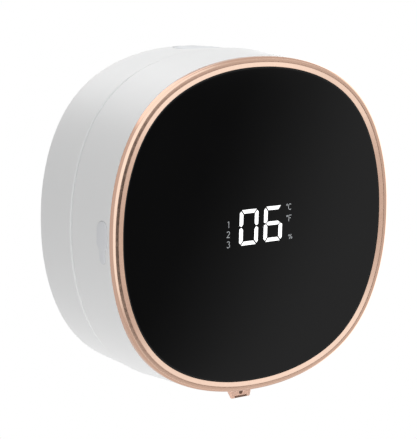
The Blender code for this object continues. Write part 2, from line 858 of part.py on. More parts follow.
probe_hole = add_rod("probe_hole", probe_radius + seat_gap, seam_depth,
                     (0.0, y_at(pump_back_face), -outlet_height), along_y)
boolean(cover, probe_hole)
for number, (boss_x, boss_z, angle) in enumerate(boss_spots, 1):
    drill = add_rod(f"cover_drill_{number}", shank_hole, cover_thickness * 2,
                    (boss_x, y_at(boss_back), boss_z), along_y, steps=small_steps)
    boolean(cover, drill)
    sink = add_rod(f"cover_sink_{number}", screw_head_radius + seat_gap, cover_thickness,
                   (boss_x, y_at(screw_floor), boss_z), along_y, steps=small_steps)
    boolean(cover, sink)
    add_screw(f"cover_screw_{number}", cover_screw_length,
              (boss_x, y_at(screw_floor + seat_gap), boss_z), along_y, front_frame)

# Main board with its display, touch spring and screws.

board_outline = [
    (-board_left, -board_tab_bottom), (-board_left_shoulder, -board_bottom),
    (board_right, -board_bottom), (board_right, board_top),
    (-board_left_shoulder, board_top), (-board_left, board_tab_top),
]
board_loops = [board_outline]
for post_x, post_z, screwed in board_posts:
    if screwed:
        board_loops.append(circle_points(shank_hole, small_steps, (post_x, post_z)))
add_plate("main_board", board_loops, board_thickness,
          (0.0, y_at(board_front_depth + board_thickness / 2), 0.0), facing_front,
          front_frame, "board_green")
board_screw_number = 0
for post_x, post_z, screwed in board_posts:
    if screwed:
        board_screw_number += 1
        add_screw(f"board_screw_{board_screw_number}", board_screw_length - seat_gap * 2,
                  (post_x, y_at(board_front_depth - seat_gap), post_z), against_y, front_frame)

add_block("display_module",
          (-display_left, lens_back + seat_gap, -display_half_height),
          (display_right, board_front_depth - seat_gap, display_half_height),
          front_frame, "dark_part", edge=edge_chamfer)

spring_front = lens_back + seat_gap + touch_spring_wire
spring_back = board_front_depth - seat_gap - touch_spring_wire
spring_points = []
spring_steps = touch_spring_turns * small_steps
for step in range(spring_steps + 1):
    angle = 2 * math.pi * step / small_steps
    spring_points.append((
        touch_spring_radius * math.cos(angle),
        spring_front + (spring_back - spring_front) * step / spring_steps,
        touch_spring_height + touch_spring_radius * math.sin(angle),
    ))
add_wire("touch_spring", spring_points, touch_spring_wire, "steel", resolution=1)

# Nozzle with its splash lip, flange, barb and the two sensor windows.

nozzle_sections = (
    (nozzle_front_depth, nozzle_top_height, nozzle_half_width),
    (nozzle_front_depth, nozzle_wall_height, nozzle_half_width),
    (nozzle_front_depth, nozzle_foot_height, nozzle_foot_half_width),
    (nozzle_front_depth, nozzle_lip_height, nozzle_lip_half_width),
    (nozzle_front_depth + nozzle_lip_thickness, nozzle_lip_height, nozzle_lip_half_width),
    (nozzle_front_depth + nozzle_foot_slope, nozzle_foot_height, nozzle_foot_half_width),
    (nozzle_back_depth, nozzle_foot_height, nozzle_foot_half_width),
    (nozzle_back_depth, nozzle_wall_height, nozzle_half_width),
    (nozzle_back_depth, nozzle_top_height, nozzle_half_width),
)
nozzle_side_faces = ((0, 1, 7, 8), (1, 2, 5, 6, 7), (2, 3, 4, 5))
nozzle_shape = bmesh.new()
nozzle_left = []
nozzle_right = []
for depth, height, half_width in nozzle_sections:
    local_depth = depth - pump_depth
    nozzle_left.append(nozzle_shape.verts.new((-half_width, local_depth, -height)))
    nozzle_right.append(nozzle_shape.verts.new((half_width, local_depth, -height)))
for index in range(len(nozzle_sections)):
    follow = (index + 1) % len(nozzle_sections)
    nozzle_shape.faces.new((nozzle_left[index], nozzle_left[follow],
                            nozzle_right[follow], nozzle_right[index]))
for corners in nozzle_side_faces:
    nozzle_shape.faces.new([nozzle_left[index] for index in corners])
    nozzle_shape.faces.new([nozzle_right[index] for index in corners])
nozzle = add_mesh("nozzle", nozzle_shape, (0.0, y_at(pump_depth), 0.0),
                  frame=front_frame, paint="rose_gold")
bevel(nozzle, nozzle_edge)
flange_low = -nozzle_top_height - nozzle_flange_thickness
nozzle_flange = add_block(
    "nozzle_flange",
    (-nozzle_flange_half_width, nozzle_front_depth - nozzle_flange_margin, flange_low),
    (nozzle_flange_half_width, nozzle_back_depth + nozzle_flange_margin,
     flange_low + nozzle_flange_thickness * 2),
)
boolean(nozzle, nozzle_flange, "UNION")
nozzle_barb = add_rod("nozzle_barb", barb_radius, nozzle_flange_thickness + barb_length,
                      (0.0, y_at(pump_depth), -nozzle_top_height), along_z)
boolean(nozzle, nozzle_barb, "UNION")
nozzle_bore = add_rod("nozzle_bore", nozzle_bore_radius, nozzle_lip_height,
                      (0.0, y_at(pump_depth), -nozzle_lip_height), along_z, steps=small_steps)
boolean(nozzle, nozzle_bore)
nozzle_outlet = add_rod("nozzle_outlet", nozzle_outlet_radius, nozzle_outlet_depth * 2,
                        (0.0, y_at(pump_depth), -nozzle_foot_height - nozzle_outlet_depth),
                        along_z)
boolean(nozzle, nozzle_outlet)
eye_front = nozzle_front_depth + window_gap
eye_hole = add_rod("eye_hole", sensor_radius + window_gap, sensor_length + seat_gap * 2,
                   (0.0, y_at(nozzle_front_depth - seat_gap), -sensor_height), along_y,
                   steps=small_steps)
boolean(nozzle, eye_hole)
strip_hole = add_block(
    "strip_hole",
    (-strip_half_width - window_gap, nozzle_front_depth - seat_gap,
     -strip_height - strip_half_height - window_gap),
    (strip_half_width + window_gap, eye_front + strip_length + window_gap,
     -strip_height + strip_half_height + window_gap),
)
boolean(nozzle, strip_hole)
add_rod("sensor_eye", sensor_radius, sensor_length, (0.0, y_at(eye_front), -sensor_height),
        along_y, front_frame, "dark_part", steps=small_steps)
add_block("sensor_strip",
          (-strip_half_width, eye_front, -strip_height - strip_half_height),
          (strip_half_width, eye_front + strip_length, -strip_height + strip_half_height),
          front_frame, "dark_part")

# Gear pump: body, cover, two gears, idler pin and screws.

pump_z = -pump_height
pump_body = add_block(
    "pump_body",
    (-pump_front, pump_depth - pump_half_depth, pump_z - pump_half_height),
    (pump_back, pump_depth + pump_half_depth, pump_z + pump_half_height),
    front_frame, "white_nylon", edge=pump_edge,
)
for label, start in (("upper", pump_z + pump_half_height - barb_radius),
                     ("lower", pump_z - pump_half_height - barb_length)):
    barb = add_rod(f"pump_barb_{label}", barb_radius, barb_length + barb_radius,
                   (0.0, y_at(pump_depth), start), along_z)
    boolean(pump_body, barb, "UNION")
chamber_depth = pump_front + gear_half_length + seat_gap
drive_axis = pump_depth - gear_pitch_radius
idler_axis = pump_depth + gear_pitch_radius
for label, axis_depth in (("drive", drive_axis), ("idler", idler_axis)):
    chamber = add_rod(f"chamber_{label}", chamber_radius, chamber_depth + seat_gap,
                      (-pump_front - seat_gap, y_at(axis_depth), pump_z), along_x)
    boolean(pump_body, chamber)
port_bore = add_rod("pump_port_bore", nozzle_bore_radius,
                    (pump_half_height + barb_length + seat_gap) * 2,
                    (0.0, y_at(pump_depth), pump_z - pump_half_height - barb_length - seat_gap),
                    along_z, steps=small_steps)
boolean(pump_body, port_bore)
shaft_hole = add_rod("shaft_hole", shaft_radius + running_gap, pump_back,
                     (gear_half_length, y_at(drive_axis), pump_z), along_x, steps=small_steps)
boolean(pump_body, shaft_hole)
pin_hole = add_rod("pin_hole", shaft_radius + running_gap, pump_pin_reach + seat_gap * 2,
                   (gear_half_length, y_at(idler_axis), pump_z), along_x, steps=small_steps)
boolean(pump_body, pin_hole)

pump_cover_back = -pump_front - seat_gap
pump_cover = add_block(
    "pump_cover",
    (pump_cover_back - pump_cover_thickness, pump_depth - pump_half_depth,
     pump_z - pump_half_height),
    (pump_cover_back, pump_depth + pump_half_depth, pump_z + pump_half_height),
    front_frame, "white_nylon", edge=pump_edge,
)
pump_screw_x = pump_cover_back - pump_cover_thickness - seat_gap
against_x = (0.0, -math.pi / 2, 0.0)
for number, side in ((1, -1), (2, 1)):
    spot_depth = pump_depth + side * (pump_half_depth - pump_screw_inset)
    spot_z = pump_z + side * (pump_half_height - pump_screw_inset)
    drill = add_rod(f"pump_drill_{number}", shank_hole, pump_screw_length + seat_gap * 2,
                    (pump_screw_x, y_at(spot_depth), spot_z), along_x, steps=small_steps)
    boolean(pump_body, drill)
    boolean(pump_cover, drill)
    add_screw(f"pump_screw_{number}", pump_screw_length,
              (pump_screw_x, y_at(spot_depth), spot_z), against_x, front_frame)


def gear_points(phase):
    """Rounded teeth; the two phases let a tooth face a gap at the mesh."""
    points = []
    count = gear_teeth * gear_steps_per_tooth
    for step in range(count):
        angle = 2 * math.pi * step / count
        radius = gear_mean_radius + gear_tooth_half_height * math.cos(gear_teeth * angle + phase)
        points.append((radius * math.cos(angle), radius * math.sin(angle)))
    return points


gear_bore = circle_points(shaft_radius + running_gap, small_steps)
add_plate("drive_gear", [gear_points(0.0), gear_bore], gear_half_length * 2,
          (0.0, y_at(drive_axis), pump_z), facing_side, front_frame, "white_nylon")
add_plate("idler_gear", [gear_points(math.pi), gear_bore], gear_half_length * 2,
          (0.0, y_at(idler_axis), pump_z), facing_side, front_frame, "white_nylon")
pin_start = -gear_half_length - window_gap
add_rod("idler_pin", shaft_radius, gear_half_length * 2 + window_gap + pump_pin_reach,
        (pin_start, y_at(idler_axis), pump_z), along_x, front_frame, "steel",
        steps=small_steps)

# Motor: flat-sided can, end cap with terminals, shaft.


def clipped_circle(radius, half_width, steps=10):
    """A circle cut flat on both sides across its first axis."""
    points = []
    corner = math.acos(half_width / radius)
    for start in (0.0, math.pi):
        for step in range(steps + 1):
            angle = start + corner + (math.pi - 2 * corner) * step / steps
            points.append((radius * math.cos(angle), radius * math.sin(angle)))
    return points


motor_can_length = can_end - can_start
motor_outline = clipped_circle(motor_half_height, motor_half_depth)
motor_can = add_plate("motor_can", [motor_outline], motor_can_length,
                      ((can_start + can_end) / 2, y_at(drive_axis), pump_z), facing_side,
                      front_frame, "steel")
bearing_hole = add_rod("bearing_hole", shaft_radius + running_gap, motor_shaft_reach + seat_gap * 2,
                       (can_start - seat_gap, y_at(drive_axis), pump_z), along_x,
                       steps=small_steps)
boolean(motor_can, bearing_hole)
motor_cap = add_plate("motor_end_cap", [motor_outline], motor_cap_length,
                      ((cap_start + cap_end) / 2, y_at(drive_axis), pump_z), facing_side,
                      front_frame, "white_nylon")
add_rod("motor_shaft", shaft_radius, can_start + motor_shaft_reach - pin_start,
        (pin_start, y_at(drive_axis), pump_z), along_x, front_frame, "steel",
        steps=small_steps)

# Hoses inside the front unit and the probe that plugs into the tank.

bend_start = -outlet_height - hose_bend
bend_end_depth = pump_depth + hose_bend
probe_flange_back = cover_depth - seat_gap
probe_flange_front = probe_flange_back - probe_flange_thickness
inlet_path = [(0.0, pump_depth, pump_z + pump_half_height + seat_gap)]
inlet_path += bend_points((0.0, pump_depth, bend_start), (0.0, pump_depth, -outlet_height),
                          (0.0, bend_end_depth, -outlet_height))
inlet_path.append((0.0, probe_flange_front - seat_gap, -outlet_height))
add_hose("inlet_hose", inlet_path, front_frame)
outlet_path = [
    (0.0, pump_depth, pump_z - pump_half_height - seat_gap),
    (0.0, pump_depth, -nozzle_top_height + nozzle_flange_thickness + seat_gap),
]
add_hose("outlet_hose", outlet_path, front_frame)

probe_tip = plate_front + probe_reach - probe_flange_front
add_turned("inlet_probe", [
    (probe_radius, probe_tip),
    (probe_radius, probe_flange_thickness),
    (probe_flange_radius, probe_flange_thickness),
    (probe_flange_radius, 0.0),
    (barb_radius, 0.0),
    (barb_radius, -probe_barb_length),
    (nozzle_bore_radius, -probe_barb_length),
    (nozzle_bore_radius, probe_tip),
], (0.0, y_at(probe_flange_front), -outlet_height), along_y, front_frame, "white_nylon",
    ring=True)

# Battery with its foam pad and the four leads.

pad_front = cover_depth - seat_gap - battery_pad_thickness
battery_back = pad_front - seat_gap
battery_high = outline_height(flange_inner_half, battery_half_length) - battery_top_gap
battery_height = battery_high - battery_half_height
battery_low = battery_height - battery_half_height
add_block("battery_cell", (-battery_half_length, battery_back - battery_thickness, battery_low),
          (battery_half_length, battery_back, battery_high), front_frame, "battery_wrap",
          edge=battery_edge)
add_block("battery_pad",
          (-battery_half_length + battery_edge, pad_front, battery_low + battery_edge),
          (battery_half_length - battery_edge, pad_front + battery_pad_thickness,
           battery_high - battery_edge), front_frame, "foam")

lead_end = board_back_depth + seat_gap
lead_start = battery_half_length + seat_gap
battery_mid = battery_back - battery_thickness / 2
for number, shade in ((0, "red"), (1, "black")):
    shift = number * wire_spacing
    add_wire(f"battery_lead_{shade}", [
        (-lead_start, battery_mid, battery_height + shift),
        (-lead_start - wire_spacing, battery_mid, battery_height + shift),
        (-lead_drop_x - shift, battery_mid, battery_height - wire_spacing),
        (-lead_drop_x - shift, lead_end + wire_spacing, board_bottom + wire_spacing),
        (-lead_drop_x - shift, lead_end + wire_radius * 2, board_bottom),
        (-lead_drop_x - shift, lead_end, board_bottom),
    ], wire_radius, f"{shade}_wire")
motor_lead_x = cap_end + seat_gap
for number, shade in ((0, "red"), (1, "black")):
    shift = number * wire_spacing / 2
    lead_z = pump_z + wire_spacing * (2 - number)
    add_wire(f"motor_lead_{shade}", [
        (motor_lead_x, drive_axis, lead_z),
        (motor_lead_x + wire_spacing - wire_radius, drive_axis, lead_z),
        (motor_drop_x + shift, drive_axis + wire_radius, lead_z + wire_spacing),
        (motor_drop_x + shift, lead_end + wire_spacing, -board_bottom - wire_spacing),
        (motor_drop_x + shift, lead_end + wire_radius * 2, -board_bottom + wire_radius * 3),
        (motor_drop_x + shift, lead_end, -board_bottom + wire_radius * 3),
    ], wire_radius, f"{shade}_wire")

# Soap tank: shell, front plate with spigot and outlet, sleeve, dip tube and fill plug.

inner_half = mouth_half - tank_step
ledge = plate_back + seat_gap
round_start = tank_depth - tank_round
back_half = tank_half - tank_draft
back_plate_half = back_half - tank_round - tank_rim - seat_gap
ledge_back = tank_floor - seat_gap
ledge_inner = back_plate_half - tank_ledge_width
shell_stations = [
    (back_plate_half + seat_gap, back_plate_half + seat_gap, tank_depth),
    (back_plate_half + seat_gap, back_plate_half + seat_gap, ledge_back),
    (ledge_inner, ledge_inner, ledge_back),
    (ledge_inner, ledge_inner, ledge_back - tank_ledge_thickness),
    (inner_half, inner_half, ledge_back - tank_ledge_thickness),
    (inner_half, inner_half, ledge),
    (mouth_half, mouth_half, ledge),
    (mouth_half, mouth_half, tank_front),
    (tank_half - edge_chamfer, tank_half - edge_chamfer, tank_front),
    (tank_half, tank_half, tank_front + edge_chamfer),
]
for step in range(tank_round_steps + 1):
    angle = math.pi / 2 * step / tank_round_steps
    half = back_half - tank_round * (1 - math.cos(angle))
    shell_stations.append((half, half, round_start + tank_round * math.sin(angle)))
shell = add_loft("tank_shell", shell_stations, 0.0, looped=True, frame=tank_frame,
                 paint="white_shell")

fill_depth = (plate_back + tank_floor) / 2
fill_collar_radius = (tank_floor - plate_back) / 2 - fill_collar_gap
fill_hole_radius = fill_collar_radius - fill_collar_wall
fill_head_radius = fill_hole_radius + fill_head_margin
fill_collar_height = tank_half - fill_collar_drop
fill_skin = tank_half - tank_draft * (fill_depth - tank_front) / (round_start - tank_front)
fill_head_top = fill_skin - fill_sink
fill_head_base = fill_head_top - fill_head_thickness
fill_seat = fill_head_base - seat_gap
collar = add_rod("fill_collar", fill_collar_radius, fill_seat + seat_gap - fill_collar_height,
                 (0.0, y_at(fill_depth), fill_collar_height), along_z, steps=fine_steps)
boolean(shell, collar, "UNION")

# Back plate with its two hook windows, each closed from inside by a pocket.

tank_back = add_loft("tank_back", [
    (back_plate_half, back_plate_half, tank_floor),
    (back_plate_half, back_plate_half, tank_depth - edge_chamfer),
    (back_plate_half - edge_chamfer, back_plate_half - edge_chamfer, tank_depth),
], 0.0, frame=tank_frame, paint="white_shell")
lip_back = tank_floor - seat_gap
lip_front = lip_back - hook_lip_thickness
cavity_front = lip_front - pocket_gap
hook_low = hook_neck_top - hook_neck_height
hook_high = hook_neck_top + hook_lip_height
cavity_low = hook_low - hook_lift - pocket_gap
cavity_high = hook_high + pocket_gap
cavity_half = hook_half_width + pocket_gap
for label, side in (("left", -1), ("right", 1)):
    middle = side * hook_spacing
    pocket = add_block(
        f"hook_pocket_{label}",
        (middle - cavity_half - pocket_wall, cavity_front - pocket_wall,
         cavity_low - pocket_wall),
        (middle + cavity_half + pocket_wall, tank_floor - seat_gap, cavity_high + pocket_wall),
        tank_frame, "white_shell",
    )
    cavity = add_block(
        f"hook_cavity_{label}",
        (middle - cavity_half, cavity_front, cavity_low),
        (middle + cavity_half, tank_floor, cavity_high),
    )
    boolean(pocket, cavity)
    window = add_block(
        f"hook_window_{label}",
        (middle - cavity_half, tank_floor - seat_gap, cavity_low),
        (middle + cavity_half, tank_depth + seat_gap, hook_neck_top + seat_gap),
    )
    boolean(tank_back, window)

fill_hole = add_rod("fill_hole", fill_hole_radius, tank_half,
                    (0.0, y_at(fill_depth), fill_collar_height - fill_stem_length), along_z,
                    steps=fine_steps)
boolean(shell, fill_hole)
fill_recess = add_rod("fill_recess", fill_head_radius + seat_gap, fill_head_thickness * 3,
                      (0.0, y_at(fill_depth), fill_seat), along_z, steps=fine_steps)
boolean(shell, fill_recess)

stem_radius = fill_hole_radius - slide_gap
stem_bore = stem_radius - fill_stem_wall
rib_top = -fill_stem_length / 3
rib_low = -fill_stem_length * 2 / 3
add_turned("fill_plug", [
    (0.0, fill_head_thickness),
    (fill_head_radius - edge_chamfer, fill_head_thickness),
    (fill_head_radius, fill_head_thickness - edge_chamfer),
    (fill_head_radius, 0.0),
    (stem_radius, 0.0),
    (stem_radius, rib_top + edge_chamfer),
    (stem_radius + fill_rib, rib_top),
    (stem_radius, rib_top - edge_chamfer),
    (stem_radius, rib_low + edge_chamfer),
    (stem_radius + fill_rib, rib_low),
    (stem_radius, rib_low - edge_chamfer),
    (stem_radius, edge_chamfer - fill_stem_length),
    (stem_radius - edge_chamfer, -fill_stem_length),
    (stem_bore, -fill_stem_length),
    (stem_bore, 0.0),
    (0.0, 0.0),
], (0.0, y_at(fill_depth), fill_head_base), along_z, tank_frame, "silicone", steps=fine_steps)

tank_plate = add_loft("tank_front_plate", [
    (spigot_inner, spigot_inner, plate_front),
    (spigot_inner, spigot_inner, plate_front - spigot_reach),
    (plate_half, plate_half, plate_front - spigot_reach),
    (plate_half, plate_half, plate_back),
], 0.0, frame=tank_frame, paint="white_shell")
boss = add_rod("outlet_boss", outlet_boss_radius, outlet_boss_length,
               (0.0, y_at(plate_front + plate_thickness / 2), -outlet_height), along_y)
boolean(tank_plate, boss, "UNION")
boss_end = plate_front + plate_thickness / 2 + outlet_boss_length
outlet_barb = add_rod("outlet_barb", barb_radius, probe_barb_length + seat_gap,
                      (0.0, y_at(boss_end - seat_gap), -outlet_height), along_y)
boolean(tank_plate, outlet_barb, "UNION")
outlet_bore = add_rod("outlet_bore", nozzle_bore_radius, tank_depth,
                      (0.0, y_at(seam_depth), -outlet_height), along_y, steps=small_steps)
boolean(tank_plate, outlet_bore)
sleeve_inner = probe_radius + seat_gap
sleeve_outer = sleeve_inner + sleeve_wall
sleeve_seat = add_rod("sleeve_seat", sleeve_outer + seat_gap, sleeve_length + seat_gap * 3,
                      (0.0, y_at(plate_front - seat_gap), -outlet_height), along_y)
boolean(tank_plate, sleeve_seat)
add_turned("outlet_sleeve", [
    (sleeve_outer, sleeve_length),
    (sleeve_outer, 0.0),
    (sleeve_inner, 0.0),
    (sleeve_inner, sleeve_length),
], (0.0, y_at(plate_front + seat_gap), -outlet_height), along_y, tank_frame, "silicone",
    ring=True)

dip_start = boss_end + seat_gap
dip_bend_depth = boss_end + probe_barb_length + seat_gap
dip_depth = dip_bend_depth + dip_tube_bend
dip_path = [(0.0, dip_start, -outlet_height)]
dip_path += bend_points((0.0, dip_bend_depth, -outlet_height), (0.0, dip_depth, -outlet_height),
                        (0.0, dip_depth, -outlet_height - dip_tube_bend))
dip_path.append((0.0, dip_depth, dip_tube_floor_gap - inner_half))
add_hose("dip_tube", dip_path, tank_frame)

# Wall plate with its hooks, and the adhesive pad behind it.

wall_plate = add_loft("wall_plate", [
    (wall_plate_half - edge_chamfer, wall_plate_half - edge_chamfer, 0.0),
    (wall_plate_half, wall_plate_half, edge_chamfer),
    (wall_plate_half, wall_plate_half, wall_plate_thickness),
], wall_plate_depth, frame=wall_frame, paint="grey_plastic")
hook_root = wall_plate_depth + wall_plate_thickness / 2
hook_profile = [
    (lip_front, hook_low), (hook_root, hook_low), (hook_root, hook_neck_top),
    (lip_back, hook_neck_top), (lip_back, hook_high), (lip_front, hook_high),
]
hook_profile = [(depth - tank_depth, height) for depth, height in hook_profile]
for label, side in (("left", -1), ("right", 1)):
    hook = add_plate(f"hook_{label}", [hook_profile], hook_half_width * 2,
                     (side * hook_spacing, y_at(tank_depth), 0.0), facing_side)
    boolean(wall_plate, hook, "UNION")
add_loft("adhesive_pad", [
    (adhesive_half, adhesive_half, 0.0),
    (adhesive_half, adhesive_half, adhesive_thickness),
], adhesive_depth, frame=wall_frame, paint="foam")
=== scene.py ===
"""Looks of the wall-mounted automatic soap dispenser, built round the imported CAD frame.

The world is in metres, +Z up, with the wall at y = 0, and the part faces -Y. Sizes and places
of the part are in mm. Depths are counted from the crest of the trim ring towards the wall, as in
the CAD source, and a station of a shell is its half width, half height and depth.
"""

import json
import math
from collections import namedtuple

import bmesh
import bpy
from mathutils import Matrix, Vector


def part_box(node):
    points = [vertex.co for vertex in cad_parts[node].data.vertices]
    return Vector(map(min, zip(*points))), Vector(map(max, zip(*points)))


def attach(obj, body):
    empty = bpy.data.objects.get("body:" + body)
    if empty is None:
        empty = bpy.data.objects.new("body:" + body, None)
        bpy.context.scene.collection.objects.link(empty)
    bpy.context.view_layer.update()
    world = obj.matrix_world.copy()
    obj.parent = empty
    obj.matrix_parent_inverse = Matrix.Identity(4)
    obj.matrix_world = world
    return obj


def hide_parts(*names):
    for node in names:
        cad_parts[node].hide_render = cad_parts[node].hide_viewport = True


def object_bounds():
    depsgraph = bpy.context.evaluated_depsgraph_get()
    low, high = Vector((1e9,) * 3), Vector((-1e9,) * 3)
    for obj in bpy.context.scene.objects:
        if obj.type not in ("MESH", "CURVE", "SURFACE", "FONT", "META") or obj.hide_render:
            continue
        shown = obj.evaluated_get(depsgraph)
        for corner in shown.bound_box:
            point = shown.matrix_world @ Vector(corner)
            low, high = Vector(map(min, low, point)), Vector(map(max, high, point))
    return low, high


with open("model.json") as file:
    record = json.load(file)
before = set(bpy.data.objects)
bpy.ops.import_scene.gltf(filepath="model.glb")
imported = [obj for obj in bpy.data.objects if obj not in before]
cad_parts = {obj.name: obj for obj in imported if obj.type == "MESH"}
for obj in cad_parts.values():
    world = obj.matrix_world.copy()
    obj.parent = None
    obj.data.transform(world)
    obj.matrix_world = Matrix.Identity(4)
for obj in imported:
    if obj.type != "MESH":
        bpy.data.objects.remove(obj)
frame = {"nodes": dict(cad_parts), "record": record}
cad_low, cad_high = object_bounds()
nodes = frame["nodes"]

# Sizes from the frame are rounded to so many decimals of a mm, which clears the noise of floats.
MM = 0.001
CAD_DIGITS = 4
TOTAL_DEPTH = round(-cad_low[1] / MM, CAD_DIGITS)

Box = namedtuple("Box", "left front foot right back top")


def cad_box(name):
    """The sides of a CAD node's box in mm, with its front and back as depths."""
    sides = []
    for x, y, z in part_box(name):
        sides += [x / MM, y / MM + TOTAL_DEPTH, z / MM]
    return Box(*(round(side, CAD_DIGITS) for side in sides))


def place_at(x, depth, z):
    """World place of a point in mm."""
    return (x * MM, (depth - TOTAL_DEPTH) * MM, z * MM)


# Node trees and materials.

paints = {}
# The span that most values of a noise fall in.
NOISE_SPAN = (0.25, 0.75)
NOISE_ROUGHNESS = 0.55
FULL_DETAIL = 3.0
LOW_DETAIL = 2.0
NO_STRETCH = (1.0, 1.0, 1.0)


def grey(level):
    """A grey of one level."""
    return (level, level, level)


def shade(colour, factor):
    """A colour made darker or lighter, up to white."""
    return tuple(min(1.0, part * factor) for part in colour)


class Tree:
    """A node tree that is built up by short calls."""

    def __init__(self, tree):
        self.tree = tree

    def node(self, kind, **settings):
        """A new node with its settings."""
        made = self.tree.nodes.new(kind)
        for key, value in settings.items():
            setattr(made, key, value)
        return made

    def feed(self, target, source):
        """Fill an input from an output socket or with a plain value."""
        if isinstance(source, bpy.types.NodeSocket):
            self.tree.links.new(source, target)
        else:
            target.default_value = source

    def number(self, operation, *sources):
        """The output of a math node on sockets or numbers."""
        made = self.node("ShaderNodeMath", operation=operation)
        for place, source in enumerate(sources):
            self.feed(made.inputs[place], source)
        return made.outputs[0]

    def outside(self, share):
        """One less a socket that goes from zero to one."""
        return self.number("SUBTRACT", 1.0, share)

    def vector(self, operation, first, second):
        """The output of a vector math node on sockets or values."""
        made = self.node("ShaderNodeVectorMath", operation=operation)
        self.feed(made.inputs[0], first)
        self.feed(made.inputs["Scale" if operation == "SCALE" else 1], second)
        return made.outputs["Value" if operation == "DOT_PRODUCT" else "Vector"]

    def ranged(self, source, span, result=(0.0, 1.0), kind="SMOOTHSTEP"):
        """Map a span of a socket's values to a result, which holds beyond the span."""
        made = self.node("ShaderNodeMapRange", interpolation_type=kind)
        for key, value in zip(("From Min", "From Max", "To Min", "To Max"), (*span, *result)):
            made.inputs[key].default_value = value
        self.feed(made.inputs["Value"], source)
        return made.outputs["Result"]

    def rays(self):
        """The sockets that mark rays of the camera or through glass, and rays of gloss."""
        path = self.node("ShaderNodeLightPath").outputs
        clear = self.number("MAXIMUM", path["Is Camera Ray"], path["Is Transmission Ray"])
        return clear, path["Is Glossy Ray"]


class Paint(Tree):
    """A material with a Principled shader, kept in paints under its name."""

    def __init__(self, name, colour, roughness, **values):
        material = bpy.data.materials.new(name)
        material.use_nodes = True
        paints[name] = material
        super().__init__(material.node_tree)
        self.sockets = self.tree.nodes["Principled BSDF"].inputs
        self.sockets["Base Color"].default_value = (*colour, 1.0)
        self.sockets["Roughness"].default_value = roughness
        for key, value in values.items():
            self.sockets[key.replace("_", " ")].default_value = value
        self.coordinates = self.node("ShaderNodeTexCoord").outputs["Object"]

    def noise(self, waves, detail=FULL_DETAIL, stretch=NO_STRETCH):
        """Noise of so many waves a metre along each axis, as one output socket."""
        mapping = self.node("ShaderNodeMapping")
        mapping.inputs["Scale"].default_value = stretch
        self.feed(mapping.inputs["Vector"], self.coordinates)
        made = self.node("ShaderNodeTexNoise")
        made.inputs["Scale"].default_value = waves
        made.inputs["Detail"].default_value = detail
        made.inputs["Roughness"].default_value = NOISE_ROUGHNESS
        self.feed(made.inputs["Vector"], mapping.outputs["Vector"])
        return made.outputs["Fac"]

    def tint(self, noise, first, second, socket="Base Color"):
        """Let a colour of the shader drift between two colours."""
        ramp = self.node("ShaderNodeValToRGB")
        for end, place, colour in zip(ramp.color_ramp.elements, NOISE_SPAN, (first, second)):
            end.position = place
            end.color = (*colour, 1.0)
        self.feed(ramp.inputs["Fac"], noise)
        self.feed(self.sockets[socket], ramp.outputs["Color"])

    def gloss(self, noise, low, high):
        """Let the roughness drift between two values."""
        self.feed(self.sockets["Roughness"], self.ranged(noise, NOISE_SPAN, (low, high), "LINEAR"))

    def bump(self, noise, height):
        """Give the surface a grain of a height in mm."""
        made = self.node("ShaderNodeBump")
        made.inputs["Distance"].default_value = height * MM
        self.feed(made.inputs["Height"], noise)
        self.feed(self.sockets["Normal"], made.outputs["Normal"])


# Noises in waves a metre, and the share by which a value drifts to either side.
MOULD_DRIFT = 22.0
MOULD_GLOSS = 160.0
MOULD_GLOSS_SHARE = 0.10
METAL_DRIFT = 30.0
METAL_DRIFT_SHARE = 0.04
METAL_GRAIN = 900.0
METAL_GLOSS_SHARE = 0.15


def moulded(name, colour, roughness, grain=1400.0, height=0.004, drift_share=0.03, **values):
    """Moulded plastic or rubber: faint colour drift, uneven gloss and a fine grain."""
    made = Paint(name, colour, roughness, **values)
    made.tint(made.noise(MOULD_DRIFT, LOW_DETAIL), shade(colour, 1 - drift_share),
              shade(colour, 1 + drift_share))
    made.gloss(made.noise(MOULD_GLOSS), roughness * (1 - MOULD_GLOSS_SHARE),
               roughness * (1 + MOULD_GLOSS_SHARE))
    made.bump(made.noise(grain, LOW_DETAIL), height)


def metal(name, colour, roughness, stretch=NO_STRETCH, height=0.002):
    """Metal whose gloss and grain follow one polish, which can be stretched along an axis."""
    made = Paint(name, colour, roughness, Metallic=1.0)
    polish = made.noise(METAL_GRAIN, LOW_DETAIL, stretch)
    made.tint(made.noise(METAL_DRIFT), shade(colour, 1 - METAL_DRIFT_SHARE),
              shade(colour, 1 + METAL_DRIFT_SHARE))
    made.gloss(polish, roughness * (1 - METAL_GLOSS_SHARE), roughness * (1 + METAL_GLOSS_SHARE))
    made.bump(polish, height)


moulded("white_shell", grey(0.80), 0.36, drift_share=0.01)
metal("rose_gold", (0.60, 0.385, 0.29), 0.17, stretch=(1.0, 0.15, 1.0))
moulded("satin_gold", (0.88, 0.55, 0.42), 0.34, drift_share=0.02, Metallic=0.15)
moulded("smoked", (0.16, 0.075, 0.04), 0.30)
moulded("grey_plastic", (0.30, 0.31, 0.32), 0.50)
moulded("silicone", (0.74, 0.745, 0.765), 0.52, grain=900.0)
moulded("clear_hose", (0.80, 0.82, 0.84), 0.30, Transmission_Weight=0.35)
moulded("dark_part", grey(0.02), 0.30)
metal("steel", (0.62, 0.62, 0.64), 0.30)
metal("battery_wrap", (0.55, 0.57, 0.60), 0.38, height=0.01)
moulded("foam", (0.10, 0.10, 0.11), 0.92, grain=700.0, height=0.05, drift_share=0.15)
moulded("red_wire", (0.60, 0.03, 0.02), 0.42)
moulded("black_wire", grey(0.02), 0.42)
moulded("white_nylon", (0.75, 0.74, 0.70), 0.45)
moulded("board_green", (0.02, 0.16, 0.07), 0.40, drift_share=0.12)

